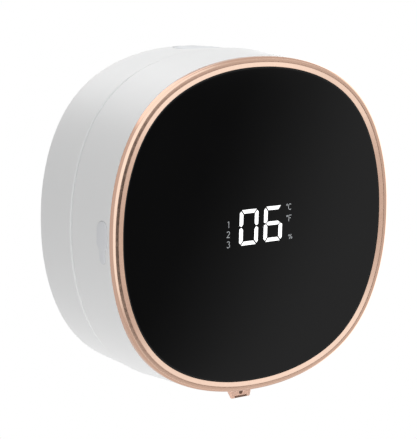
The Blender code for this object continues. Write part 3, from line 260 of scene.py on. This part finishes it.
# The lens's black and roughness, each as its lowest, middle and highest value.
LENS_BLACKS = ((0.0060, 0.0060, 0.0062), (0.0064, 0.0064, 0.0066), (0.0068, 0.0068, 0.0070))
LENS_ROUGHNESS = (0.06, 0.07, 0.08)
LENS_REFLECTION = 0.18
LENS_DRIFT = 14.0
LENS_GLOSS = 60.0
GLOW_ROUGHNESS = 0.4
GLOW_DRIFT = 700.0
GLOW_LOW_SHARE = 0.94


def lens_paint():
    """Black coated acrylic: near-black body under a smooth, faintly uneven skin."""
    deepest, black, palest = LENS_BLACKS
    smoothest, rough, roughest = LENS_ROUGHNESS
    made = Paint("black_lens", black, rough, Specular_IOR_Level=LENS_REFLECTION)
    made.tint(made.noise(LENS_DRIFT), deepest, palest)
    made.gloss(made.noise(LENS_GLOSS), smoothest, roughest)


def glow_paint(name, colour, strength):
    """A lit sign behind the lens, with a slight unevenness of its diffuser."""
    made = Paint(name, colour, GLOW_ROUGHNESS, Emission_Strength=strength)
    made.tint(made.noise(GLOW_DRIFT), shade(colour, GLOW_LOW_SHARE), colour, "Emission Color")


lens_paint()
glow_paint("digit_light", grey(1.0), 0.95)
glow_paint("sign_light", (0.34, 0.35, 0.36), 0.5)


# Mesh helpers. Angles are in degrees.

# The outline is a superellipse, drawn in by a small share in waves round it.
OUTLINE_EXPONENT = 2.375
OUTLINE_FLAT_SHARE = 0.0055
OUTLINE_WAVES = 8
OUTLINE_STEPS = 256
EDGE_STEPS = 6
POST_STEPS = 64
BUILT_SHARP = 40.0
CUT_SHARP = 30.0
FRONT_TURN = (-90, 0)
BACK_TURN = (0, 90)
OVERRUN = 3.0


def outline(half_width, half_height):
    """Points in mm of the rounded square that all shells share."""
    points = []
    for step in range(OUTLINE_STEPS):
        angle = 2 * math.pi * step / OUTLINE_STEPS
        across, along = math.cos(angle), math.sin(angle)
        power = abs(across) ** OUTLINE_EXPONENT + abs(along) ** OUTLINE_EXPONENT
        reach = power ** (-1 / OUTLINE_EXPONENT)
        reach *= 1 + OUTLINE_FLAT_SHARE * (math.cos(OUTLINE_WAVES * angle) - 1) / 2
        points.append((half_width * reach * across, half_height * reach * along))
    return points


def arc(centre, radius, start, end, steps=10, tall=1.0):
    """Flat points of an arc, stretched upwards by tall."""
    made = []
    for step in range(steps + 1):
        angle = math.radians(start + (end - start) * step / steps)
        made.append((centre[0] + radius * math.cos(angle),
                     centre[1] + radius * tall * math.sin(angle)))
    return made


def square(half, depth):
    """A station that is as wide as it is tall."""
    return (half, half, depth)


def rounding(centre, radius, turn, steps):
    """Stations round an edge whose centre is a station, turning from outwards to backwards."""
    half_width, half_height, depth = centre
    return [(half_width + out, half_height + out, depth + back)
            for out, back in arc((0.0, 0.0), radius, *turn, steps)]


def bridge(shape, first, second):
    """Add quads between two rings of as many corners."""
    for index in range(len(first)):
        follow = (index + 1) % len(first)
        shape.faces.new((first[index], first[follow], second[follow], second[index]))


def loft(stations, looped=False):
    """Skin stations into one closed body, capped at both ends or looped into a ring."""
    shape = bmesh.new()
    rings = []
    for half_width, half_height, depth in stations:
        points = outline(half_width, half_height)
        rings.append([shape.verts.new(place_at(x, depth, z)) for x, z in points])
    for first, second in zip(rings, rings[1:]):
        bridge(shape, first, second)
    if looped:
        bridge(shape, rings[-1], rings[0])
    else:
        shape.faces.new(rings[0])
        shape.faces.new(rings[-1])
    return shape


def prism(outlines, low, high, plane):
    """Prisms of flat outlines; plane turns a flat point and a level into x, depth and z."""
    shape = bmesh.new()
    for points in outlines:
        first, second = ([shape.verts.new(place_at(*plane(u, v, level))) for u, v in points]
                         for level in (low, high))
        shape.faces.new(first)
        shape.faces.new(list(reversed(second)))
        bridge(shape, first, second)
    return shape


def block(low, high):
    """A block between two corners given as x, depth and z."""
    shape = bmesh.new()
    bmesh.ops.create_cube(shape, size=1.0)
    size = [(b - a) * MM for a, b in zip(low, high)]
    bmesh.ops.scale(shape, vec=size, verts=shape.verts)
    middle = [(a + b) / 2 for a, b in zip(low, high)]
    bmesh.ops.translate(shape, vec=place_at(*middle), verts=shape.verts)
    return shape


def post(radius, low, high, depth):
    """A round upright bar between two heights in the part's middle plane."""
    shape = bmesh.new()
    bmesh.ops.create_cone(shape, cap_ends=True, segments=POST_STEPS, radius1=radius * MM,
                          radius2=radius * MM, depth=(high - low) * MM)
    bmesh.ops.translate(shape, vec=place_at(0.0, depth, (low + high) / 2), verts=shape.verts)
    return shape


def smooth(mesh, sharp):
    """Shade a mesh smooth, apart from edges over the sharp angle."""
    mesh.shade_smooth()
    mesh.set_sharp_from_angle(angle=math.radians(sharp))


def put(name, data):
    """A new object in the scene."""
    made = bpy.data.objects.new(name, data)
    bpy.context.scene.collection.objects.link(made)
    return made


def solid(name, shape):
    """An object of a finished shape."""
    bmesh.ops.recalc_face_normals(shape, faces=shape.faces)
    mesh = bpy.data.meshes.new(name)
    shape.to_mesh(mesh)
    shape.free()
    smooth(mesh, BUILT_SHARP)
    return put(name, mesh)


def piece(name, shape, body, paint, stands_for=()):
    """A piece of the part, which rides on a body and may stand for CAD nodes."""
    made = solid(name, shape)
    made.data.materials.append(paints[paint])
    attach(made, body)
    if stands_for:
        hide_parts(*stands_for)
    return made


def cut(target, operation="DIFFERENCE", **shapes):
    """Apply a boolean for each named shape, after the modifiers that the target has."""
    tools = [solid(name, shape) for name, shape in shapes.items()]
    for tool in tools:
        step = target.modifiers.new(tool.name, "BOOLEAN")
        step.operation = operation
        step.solver = "EXACT"
        step.object = tool
    bpy.context.view_layer.update()
    evaluated = target.evaluated_get(bpy.context.evaluated_depsgraph_get())
    mesh = bpy.data.meshes.new_from_object(evaluated)
    mesh.materials.clear()
    for material in target.data.materials:
        mesh.materials.append(material)
    smooth(mesh, CUT_SHARP)
    target.modifiers.clear()
    target.data = mesh
    for tool in tools:
        bpy.data.objects.remove(tool, do_unlink=True)


# Carried-over CAD nodes take the paint of their slot, a few of them a finer one.
NODE_PAINTS = {"nozzle": "satin_gold", "sensor_eye": "smoked", "sensor_strip": "smoked"}

for part in frame["record"]["subparts"]:
    shown = nodes[part["node"]]
    shown.data.materials.clear()
    shown.data.materials.append(paints[NODE_PAINTS.get(part["node"], part["material_slot"])])

# Boxes of the CAD nodes that the pieces below stand for or have to fit.
lens = cad_box("front_lens")
ring = cad_box("trim_ring")
housing = cad_box("front_housing")
gasket = cad_box("cover_gasket")
flap = cad_box("port_cover")
usb = cad_box("usb_shell")
spout = cad_box("nozzle")
tank = cad_box("tank_shell")
back_plate = cad_box("tank_back")
plug = cad_box("fill_plug")

# The clearance and the wall are those of the CAD source.
SEAT_GAP = 0.3
WALL = 2.2

# Lens, with a rounded edge, sunk behind the crest of the ring.
LENS_GAP = 0.1
LENS_ROUND = 0.25
LENS_MARGIN = 0.4
opening = lens.right + LENS_GAP
lens_edge = lens.right - LENS_ROUND
lens_stations = [
    square(lens_edge - LENS_MARGIN, lens.front),
    *rounding(square(lens_edge, lens.front + LENS_ROUND), LENS_ROUND, FRONT_TURN, EDGE_STEPS),
    square(lens.right, lens.back),
]
piece("lens_glass", loft(lens_stations), "front_unit", "black_lens", ["front_lens"])

# Trim ring: a gentle chamfer up from the lens, a flat crest, a crease and a rounded outer edge.
# Each pair is a share of the ring's width and the drop there as a share of its depth, and the
# foot of the outer edge follows the last of them.
RING_SHARES = (
    (0.00, 0.154), (0.12, 0.115), (0.24, 0.075), (0.35, 0.038), (0.43, 0.012), (0.49, 0.000),
    (0.56, 0.002), (0.64, 0.005), (0.72, 0.009), (0.77, 0.012), (0.785, 0.014), (0.80, 0.020),
    (0.84, 0.051), (0.89, 0.093), (0.93, 0.138), (0.965, 0.210), (0.99, 0.315), (1.00, 0.440),
)
RING_FOOT_SHARES = (1.0, 1.0)
RING_STEPS = 4
RING_LEDGE = 2.8
ring_depth = housing.front - SEAT_GAP


def smooth_run(points):
    """Catmull-Rom points through a run of flat points."""
    made = []
    for index in range(len(points) - 1):
        a = Vector(points[max(index - 1, 0)])
        b = Vector(points[index])
        c = Vector(points[index + 1])
        d = Vector(points[min(index + 2, len(points) - 1)])
        for step in range(RING_STEPS):
            t = step / RING_STEPS
            made.append((b * 2 + (c - a) * t + (a * 2 - b * 5 + c * 4 - d) * t * t
                         + (b * 3 - a - c * 3 + d) * t * t * t) / 2)
    made.append(Vector(points[-1]))
    return made


ring_stations = []
for share, drop in smooth_run(RING_SHARES) + [RING_FOOT_SHARES]:
    ring_stations.append((opening + (ring.right - opening) * share,
                          opening + (ring.top - opening) * share,
                          ring_depth * max(drop, 0.0)))
spigot = (ring.right - WALL - SEAT_GAP, ring.top - WALL - SEAT_GAP)
ledge_half = opening - RING_LEDGE
ledge_depth = lens.back + SEAT_GAP
ring_stations += [
    (*spigot, ring_depth), (*spigot, ring.back), square(ledge_half, ring.back),
    square(ledge_half, ledge_depth), square(opening, ledge_depth),
]
piece("gold_ring", loft(ring_stations, looped=True), "front_unit", "rose_gold", ["trim_ring"])


# Front housing with the port pocket, the port hole and the nozzle slot.

HOUSING_EDGE = 0.35
SEAM_ROUND = 1.8
SEAM_STEPS = 12
# Depths of the stations between the two rounded edges.
WALL_DEPTHS = (8.0, 13.0, 18.0, 23.0)
FLANGE_WIDTH = 4.8
FLANGE_THICK = 2.0
flange_half = housing.right - WALL - FLANGE_WIDTH
flange_back = gasket.front - SEAT_GAP
flange_front = flange_back - FLANGE_THICK

# Port cover: a wide round-ended body down to its bottom, and a narrow pull tab below it. The
# floor of its pocket stays clear of it at rest and as it swings.
PORT_COVER_BOTTOM = -4.1
TAB_HALF = 1.6
FLAP_STEPS = 24
FLAP_PROUD = 0.15
FLAP_THICK = 0.9
POCKET_GAP = 0.10
POCKET_FLOOR_GAP = 0.45
HOLE_STEPS = 16
flap_half = (flap.back - flap.front) / 2
port_depth = (flap.front + flap.back) / 2

# How far the nozzle's flange stands over the slot at each side and end.
SLOT_SIDE = 1.5
SLOT_END = 1.0


def skin(depth, offset=0.0):
    """Station of the front unit's flared wall, moved outwards by the offset."""
    share = (depth - housing.front) / (housing.back - housing.front)
    return (ring.right + (housing.right - ring.right) * share + offset,
            ring.top + (housing.top - ring.top) * share + offset, depth)


def flap_points(grow):
    """Outline of the port cover, grown all round."""
    wide, narrow = flap_half + grow, TAB_HALF + grow
    upper = (0.0, flap.top + grow - wide)
    lower = (0.0, PORT_COVER_BOTTOM - grow + wide)
    tab = (0.0, flap.foot - grow + narrow)
    neck = math.degrees(math.acos(narrow / wide))
    return (arc(upper, wide, 0, 180, FLAP_STEPS)
            + arc(lower, wide, 180, 180 + neck, FLAP_STEPS // 2)
            + arc(tab, narrow, 180, 360, FLAP_STEPS)
            + arc(lower, wide, 360 - neck, 360, FLAP_STEPS // 2))


def side_plane(u, v, w):
    """u along the depth from the port, v up, w outwards through the left wall."""
    return (-w, port_depth + u, v)


housing_stations = [
    *rounding((ring.right - HOUSING_EDGE, ring.top - HOUSING_EDGE, housing.front + HOUSING_EDGE),
              HOUSING_EDGE, FRONT_TURN, EDGE_STEPS),
    *(skin(depth) for depth in WALL_DEPTHS),
    *rounding(square(housing.right - SEAM_ROUND, housing.back - SEAM_ROUND), SEAM_ROUND,
              BACK_TURN, SEAM_STEPS),
    skin(housing.back, -WALL), skin(flange_back, -WALL), square(flange_half, flange_back),
    square(flange_half, flange_front), skin(flange_front, -WALL), skin(housing.front, -WALL),
]
housing_skin = piece("housing_skin", loft(housing_stations, looped=True), "front_unit",
                     "white_shell", ["front_housing"])
port_skin = skin(port_depth)[0]
flap_inner = port_skin + FLAP_PROUD - FLAP_THICK
hole_half = (usb.back - usb.front) / 2 + SEAT_GAP
hole_points = (arc((0.0, usb.top + SEAT_GAP - hole_half), hole_half, 0, 180, HOLE_STEPS)
               + arc((0.0, usb.foot - SEAT_GAP + hole_half), hole_half, 180, 360, HOLE_STEPS))
cut(housing_skin,
    pocket=prism([flap_points(POCKET_GAP)], flap_inner - POCKET_FLOOR_GAP, port_skin + OVERRUN,
                 side_plane),
    port_hole=prism([hole_points], port_skin - WALL - OVERRUN, port_skin + OVERRUN, side_plane),
    nozzle_slot=block((spout.left + SLOT_SIDE, spout.front + SLOT_END, spout.foot + SEAT_GAP),
                      (spout.right - SLOT_SIDE, spout.back - SLOT_END, -flange_half)))

# Port cover, trimmed to the wall's own curve, with soft edges. The silicone bends at one height:
# above it the cover stays in its pocket, and below it the cover swings. Each row ends with the
# heights between which that piece is cut off, so that the two overlap by a hair.
FLAP_BEND = 5.15
FLAP_OVERLAP = 0.004
FLAP_SOFT = 0.12
FLAP_SOFT_STEPS = 3
FLAP_SOFT_ANGLE = 50.0

for name, body, stands_for, cut_from, cut_to in (
        ("flap_skin", "port_flap", ["port_cover"], FLAP_BEND, flap.top + OVERRUN),
        ("flap_root", "front_unit", [], flap.foot - OVERRUN, FLAP_BEND + FLAP_OVERLAP)):
    rough_flap = prism([flap_points(0.0)], flap_inner - OVERRUN, port_skin + OVERRUN, side_plane)
    cover = piece(name, rough_flap, body, "silicone", stands_for)
    outer, inner = (loft([skin(housing.front, offset), skin(flange_front, offset)])
                    for offset in (FLAP_PROUD, FLAP_PROUD - FLAP_THICK))
    cut(cover, "INTERSECT", flap_outer=outer)
    cut(cover, flap_back=inner)
    soft = cover.modifiers.new("soft_edge", "BEVEL")
    soft.width = FLAP_SOFT * MM
    soft.segments = FLAP_SOFT_STEPS
    soft.limit_method = "ANGLE"
    soft.angle_limit = math.radians(FLAP_SOFT_ANGLE)
    cut(cover, flap_end=block((-port_skin - OVERRUN, housing.front, cut_from),
                              (-flap_inner + OVERRUN, flange_front, cut_to)))

# Tank shell: a mouth that takes the front plate, a thicker wall behind it, and a ledge round the
# opening at the back, which the back plate seats on.
TANK_DRAFT = 0.15
TANK_ROUND = 4.5
TANK_ROUND_STEPS = 16
TANK_RUN_SHARES = (0.25, 0.5, 0.75)
MOUTH_ROUND = 0.8
MOUTH_STEPS = 10
MOUTH_DEPTH = 3.0
TANK_WALL = 2.0
TANK_STEP = 0.8
TANK_LEDGE_WIDTH = 2.5
TANK_LEDGE_THICK = 2.1
tank_back_half = tank.right - TANK_DRAFT
round_start = tank.back - TANK_ROUND
mouth_half = tank.right - TANK_WALL
mouth_end = tank.front + MOUTH_DEPTH
inner_half = mouth_half - TANK_STEP
rim_half = back_plate.right + SEAT_GAP
rim_seat = back_plate.front - SEAT_GAP
tank_ledge_half = back_plate.right - TANK_LEDGE_WIDTH
tank_ledge_front = rim_seat - TANK_LEDGE_THICK
tank_stations = [
    *rounding(square(tank.right - MOUTH_ROUND, tank.front + MOUTH_ROUND), MOUTH_ROUND,
              FRONT_TURN, MOUTH_STEPS),
    *(square(tank.right - TANK_DRAFT * share, tank.front + (round_start - tank.front) * share)
      for share in TANK_RUN_SHARES),
    *rounding(square(tank_back_half - TANK_ROUND, round_start), TANK_ROUND, BACK_TURN,
              TANK_ROUND_STEPS),
    square(rim_half, tank.back), square(rim_half, rim_seat),
    square(tank_ledge_half, rim_seat), square(tank_ledge_half, tank_ledge_front),
    square(inner_half, tank_ledge_front), square(inner_half, mouth_end),
    square(mouth_half, mouth_end), square(mouth_half, tank.front),
]
tank_skin = piece("tank_skin", loft(tank_stations, looped=True), "tank", "white_shell",
                  ["tank_shell"])

# Filler on top of the tank: a collar with a hole, under a recess that the plug's head sinks in.
FILL_SINK = 0.2
FILL_HEAD = 1.2
FILL_HEAD_GAP = 0.14
FILL_HOLE = 6.9
COLLAR = 9.1
COLLAR_DROP = 5.1
fill_depth = (plug.front + plug.back) / 2
fill_skin = tank.top - TANK_DRAFT * (fill_depth - tank.front) / (round_start - tank.front)
fill_seat = fill_skin - FILL_SINK - FILL_HEAD - SEAT_GAP
collar_foot = tank.top - COLLAR_DROP
cut(tank_skin, "UNION", collar=post(COLLAR, collar_foot, fill_seat + SEAT_GAP, fill_depth))
cut(tank_skin,
    fill_hole=post(FILL_HOLE, collar_foot - OVERRUN, tank.top + OVERRUN, fill_depth),
    fill_recess=post(plug.right + FILL_HEAD_GAP, fill_seat, tank.top + OVERRUN, fill_depth))


def direction(side, rise):
    """The way to a point at an azimuth to the right of the front and a height, in degrees."""
    side, rise = math.radians(side), math.radians(rise)
    return Vector((math.sin(side) * math.cos(rise), -math.cos(side) * math.cos(rise),
                   math.sin(rise)))


# Camera at the photograph's angle, with its place and clip in metres, its sensor and lens in mm,
# and its azimuth to the right of the front, height and roll in degrees.
CAMERA_SENSOR = 36.0
CAMERA_LENS = 129.97
CAMERA_PLACE = (-0.329011, -0.496367, 0.099188)
CAMERA_SIDE = -34.91413
CAMERA_RISE = 10.01956
CAMERA_ROLL = 0.5278
CAMERA_CLIP = (0.01, 20.0)
WORLD_UP = (0.0, 0.0, 1.0)

camera_data = bpy.data.cameras.new("photo_camera")
camera_data.sensor_width = CAMERA_SENSOR
camera_data.lens = CAMERA_LENS
camera_data.clip_start, camera_data.clip_end = CAMERA_CLIP
camera = put("photo_camera", camera_data)
ahead = -direction(CAMERA_SIDE, CAMERA_RISE)
level_right = ahead.cross(Vector(WORLD_UP)).normalized()
level_up = level_right.cross(ahead)
roll = math.radians(CAMERA_ROLL)
right = level_right * math.cos(roll) + level_up * math.sin(roll)
up = level_up * math.cos(roll) - level_right * math.sin(roll)
turn = Matrix((right, up, -ahead)).transposed()
camera.matrix_world = Matrix.Translation(Vector(CAMERA_PLACE)) @ turn.to_4x4()
bpy.context.scene.camera = camera


# Digits and signs on the lens, in the plane of the panel.

SIGN_PROUD = 0.04
SIGN_CLEAR = 0.01


def lens_plane(u, v, w):
    """u to the right, v up, w the depth."""
    return (u, w, v)


def sign(name, loops, paint):
    """Flat strokes that stand a hair in front of the lens."""
    strokes = prism(loops, lens.front - SIGN_PROUD, lens.front - SIGN_CLEAR, lens_plane)
    piece(name, strokes, "front_unit", paint)


DIGIT_WIDTH = 8.1
DIGIT_HEIGHT = 12.62
DIGIT_LEAN = math.tan(math.radians(1.2))
UPRIGHT = 1.54
CROSSBAR = 1.34
CORNER = 0.9
WAIST_SHARE = 0.65
WAIST_CORNER = CORNER * WAIST_SHARE
GAP = 0.36
WAIST_RISE = 0.2
MIDDLE = DIGIT_HEIGHT / 2 + WAIST_RISE


def flipped(points, across, over):
    """Mirror points of a digit left to right, top to bottom, or both."""
    made = [(DIGIT_WIDTH - u if across else u, DIGIT_HEIGHT - v if over else v)
            for u, v in points]
    return made[::-1] if across != over else made


half_gap = GAP / 2
bar_left = UPRIGHT + GAP
bar_right = DIGIT_WIDTH - bar_left
bar_low = DIGIT_HEIGHT - CROSSBAR
top_bar = [(CORNER, DIGIT_HEIGHT), (DIGIT_WIDTH - CORNER, DIGIT_HEIGHT),
           (bar_right, bar_low), (bar_left, bar_low)]
left_bar = [(0.0, DIGIT_HEIGHT - CORNER - half_gap),
            (CORNER / 2 + half_gap, DIGIT_HEIGHT - CORNER / 2),
            (UPRIGHT, bar_low - GAP), (UPRIGHT, MIDDLE + CORNER + half_gap),
            (CORNER, MIDDLE + half_gap), (0.0, MIDDLE + WAIST_CORNER)]
low_bar = [(0.0, CORNER + half_gap), (0.0, MIDDLE - WAIST_CORNER), (CORNER, MIDDLE - half_gap),
           (UPRIGHT, MIDDLE - CORNER - half_gap), (UPRIGHT, CROSSBAR + GAP),
           (CORNER / 2 + half_gap, CORNER / 2)]
mid_bar = [(CORNER + half_gap, MIDDLE), (bar_left, MIDDLE + CROSSBAR / 2),
           (bar_right, MIDDLE + CROSSBAR / 2), (DIGIT_WIDTH - CORNER - half_gap, MIDDLE),
           (bar_right, MIDDLE - CROSSBAR / 2), (bar_left, MIDDLE - CROSSBAR / 2)]
BARS = {
    "a": top_bar, "b": flipped(left_bar, True, False), "c": flipped(low_bar, True, False),
    "d": flipped(top_bar, False, True), "e": low_bar, "f": left_bar, "g": mid_bar,
}
# Each digit has its lit bars, its left edge at mid height and its lowest level.
DIGITS = (("abcdef", -8.2, -6.41), ("acdefg", 2.43, -6.12))

digit_strokes = []
for lit, left, low in DIGITS:
    for bar in lit:
        digit_strokes.append([(left + u + (v - MIDDLE) * DIGIT_LEAN, low + v)
                              for u, v in BARS[bar]])
sign("display_digits", digit_strokes, "digit_light")


def ribbon(points, width):
    """Quads of one width along a run of flat points."""
    made = []
    for (u0, v0), (u1, v1) in zip(points, points[1:]):
        long = math.hypot(u1 - u0, v1 - v0)
        du, dv = (u1 - u0) / long * width / 2, (v1 - v0) / long * width / 2
        made.append([(u0 - dv, v0 + du), (u0 + dv, v0 - du), (u1 + dv, v1 - du),
                     (u1 - dv, v1 + du)])
    return made


# Small signs, drawn from the lower left corner of a cell about 1.5 wide and 2.3 tall. The degree
# stands to the left of its cell, and the share sign passes it a little.
CELL_SIGNS = {
    "one": [[(0.5, 1.95), (0.95, 2.2), (0.95, 0.0)]],
    "two": [arc((0.75, 1.62), 0.58, 160, -35) + [(0.15, 0.08), (1.4, 0.08)]],
    "three": [arc((0.72, 1.68), 0.55, 150, -80), arc((0.72, 0.62), 0.62, 80, -150)],
    "degree": [arc((-0.45, 1.9), 0.25, 0, 360)],
    "cee": [arc((0.85, 1.1), 0.72, 50, 310, tall=1.45)],
    "eff": [[(1.45, 2.15), (0.3, 2.15), (0.3, 0.0)], [(0.3, 1.15), (1.2, 1.15)]],
    "share": [arc((0.42, 1.5), 0.27, 0, 360), arc((1.5, 0.6), 0.27, 0, 360),
              [(0.5, 0.2), (1.42, 1.9)]],
}
SIGN_STROKE = 0.23
SIGN_PLACES = (
    ("one", -13.75, 0.45), ("two", -13.75, -3.05), ("three", -13.7, -6.6),
    ("degree", 13.1, 4.5), ("cee", 13.1, 4.5), ("degree", 13.2, 0.4), ("eff", 13.2, 0.4),
    ("share", 13.35, -6.3),
)

sign_strokes = []
for key, left, low in SIGN_PLACES:
    for run in CELL_SIGNS[key]:
        for quad in ribbon(run, SIGN_STROKE):
            sign_strokes.append([(left + u, low + v) for u, v in quad])
sign("display_signs", sign_strokes, "sign_light")


# Floor, lamps and world, in metres and degrees.

# The floor lies far below. It is white to the camera and paler than the studio to gloss.
FLOOR_HALF = 1.0
FLOOR_PLACE = (0.0, 0.0, -1.2)
FLOOR_GREYS = (0.85, 0.86, 0.87)
FLOOR_ROUGHNESS = 0.9
FLOOR_DRIFT = 3.0
FLOOR_GLOSS = 0.6
SOLID_WHITE = (1.0, 1.0, 1.0, 1.0)


def floor_paint():
    """Pale matt paint that shows the camera plain white."""
    darkest, middle, palest = FLOOR_GREYS
    made = Paint("floor_paint", grey(middle), FLOOR_ROUGHNESS, Emission_Color=SOLID_WHITE)
    made.tint(made.noise(FLOOR_DRIFT), grey(darkest), grey(palest))
    clear, glossy = made.rays()
    glow = made.number("MAXIMUM", clear, made.number("MULTIPLY", glossy, FLOOR_GLOSS))
    made.feed(made.sockets["Emission Strength"], glow)


floor_paint()
floor_shape = bmesh.new()
bmesh.ops.create_grid(floor_shape, x_segments=1, y_segments=1, size=FLOOR_HALF)
floor = solid("floor", floor_shape)
floor.location = FLOOR_PLACE
floor.data.materials.append(paints["floor_paint"])

# Soft boxes aimed at the part: azimuth to the right of the front, height, distance, size and
# power. They are hidden from gloss.
LIT_PLACE = (0.0, -0.028, 0.0)
SOFT_BOXES = (
    ("top_box", 0.0, 85.0, 1.2, 1.2, 8.0),
    ("left_box", -70.0, 60.0, 1.2, 1.0, 4.2),
    ("low_box", -45.0, -50.0, 1.1, 0.9, 7.2),
    ("under_box", -40.0, -70.0, 0.8, 0.8, 0.9),
)

for name, side, rise, reach, size, power in SOFT_BOXES:
    light = bpy.data.lights.new(name, "AREA")
    light.size = size
    light.energy = power
    soft_box = put(name, light)
    soft_box.location = direction(side, rise) * reach
    beam = Vector(LIT_PLACE) - soft_box.location
    soft_box.rotation_euler = beam.to_track_quat("-Z", "Y").to_euler()
    soft_box.visible_glossy = False

# The backdrop is white to the camera and to glass. Gloss shows the studio: a plain grey round
# the object, bright boxes, and the unlit end that the camera stands at.
AMBIENT = 0.25
GREY_LEVEL = 0.92
# Round patches of the studio: azimuth to the right of the front, height, half angles of the
# core and of the edge. The strips and the left box shine in the box colour, and the right and
# the back box add plain white to the grey.
BOX_COLOUR = (0.76, 1.00, 1.11)
LEFT_BOX = (-45.0, 30.0, 54.0, 68.0)
STRIPS = (36.0, -10.0, 34.0, 42.0)
STRIPS_HOLE = (36.0, -10.0, 11.0, 15.0)
RIGHT_BOX = (104.0, -4.0, 34.0, 41.0)
RIGHT_GAIN = 1.4
BACK_BOX = (-175.0, 52.0, 22.0, 30.0)
BACK_GAIN = 0.9
DARK_END = (-5.8, 8.4, 43.5, 49.5)
DARK_LIMIT = (32.5, -8.5, 6.5, 10.0)
# How far the sine of the height is from that of the mirrored camera, where the dark end stops
# and the strips begin and end.
MIRROR_RISE = -0.175
DARK_STOPS = (0.09, 0.12)
STRIPS_BEGIN = (0.07, 0.12)
STRIPS_END = (0.36, 0.46)
# The sockets that a mix node of colours has for its share and two colours, and for its result.
MIX_INPUTS = (0, 6, 7)
MIX_OUTPUT = 2

world = bpy.data.worlds.new("studio")
bpy.context.scene.world = world
world.use_nodes = True
sky = Tree(world.node_tree)
sky.tree.nodes.clear()
towards = sky.node("ShaderNodeTexCoord").outputs["Generated"]


def patch(side, rise, core, edge):
    """One inside a round patch of the sky and zero outside, soft from its core to its edge."""
    facing = sky.vector("DOT_PRODUCT", towards, direction(side, rise))
    return sky.ranged(facing, (math.cos(math.radians(edge)), math.cos(math.radians(core))))


def mixed(share, first, second):
    """Two colours blended by a share socket."""
    made = sky.node("ShaderNodeMix", data_type="RGBA")
    for place, source in zip(MIX_INPUTS, (share, first, second)):
        sky.feed(made.inputs[place], source)
    return made.outputs[MIX_OUTPUT]


split = sky.node("ShaderNodeSeparateXYZ")
sky.feed(split.inputs[0], towards)
off_mirror = sky.number("ABSOLUTE", sky.number("SUBTRACT", split.outputs["Z"], MIRROR_RISE))
strips = sky.number("MULTIPLY", patch(*STRIPS), sky.ranged(off_mirror, STRIPS_BEGIN))
for left_out in (patch(*STRIPS_HOLE), sky.ranged(off_mirror, STRIPS_END)):
    strips = sky.number("MULTIPLY", strips, sky.outside(left_out))
boxes = sky.number("MAXIMUM", strips, patch(*LEFT_BOX))
plain = sky.number("ADD", sky.number("MULTIPLY", patch(*BACK_BOX), BACK_GAIN), GREY_LEVEL)
plain = sky.number("ADD", plain, sky.number("MULTIPLY", patch(*RIGHT_BOX), RIGHT_GAIN))
studio = sky.vector("ADD", plain, sky.vector("SCALE", BOX_COLOUR, boxes))
dark = sky.number("MULTIPLY", patch(*DARK_END), patch(*DARK_LIMIT))
dark = sky.number("MULTIPLY", dark, sky.outside(sky.ranged(off_mirror, DARK_STOPS)))
clear, glossy = sky.rays()
seen = mixed(glossy, (*grey(AMBIENT), 1.0), sky.vector("SCALE", studio, sky.outside(dark)))
backdrop = sky.node("ShaderNodeBackground")
sky.feed(backdrop.inputs["Color"], mixed(clear, seen, SOLID_WHITE))
sky.feed(sky.node("ShaderNodeOutputWorld").inputs["Surface"], backdrop.outputs[0])

bpy.context.scene.view_settings.view_transform = "Standard"
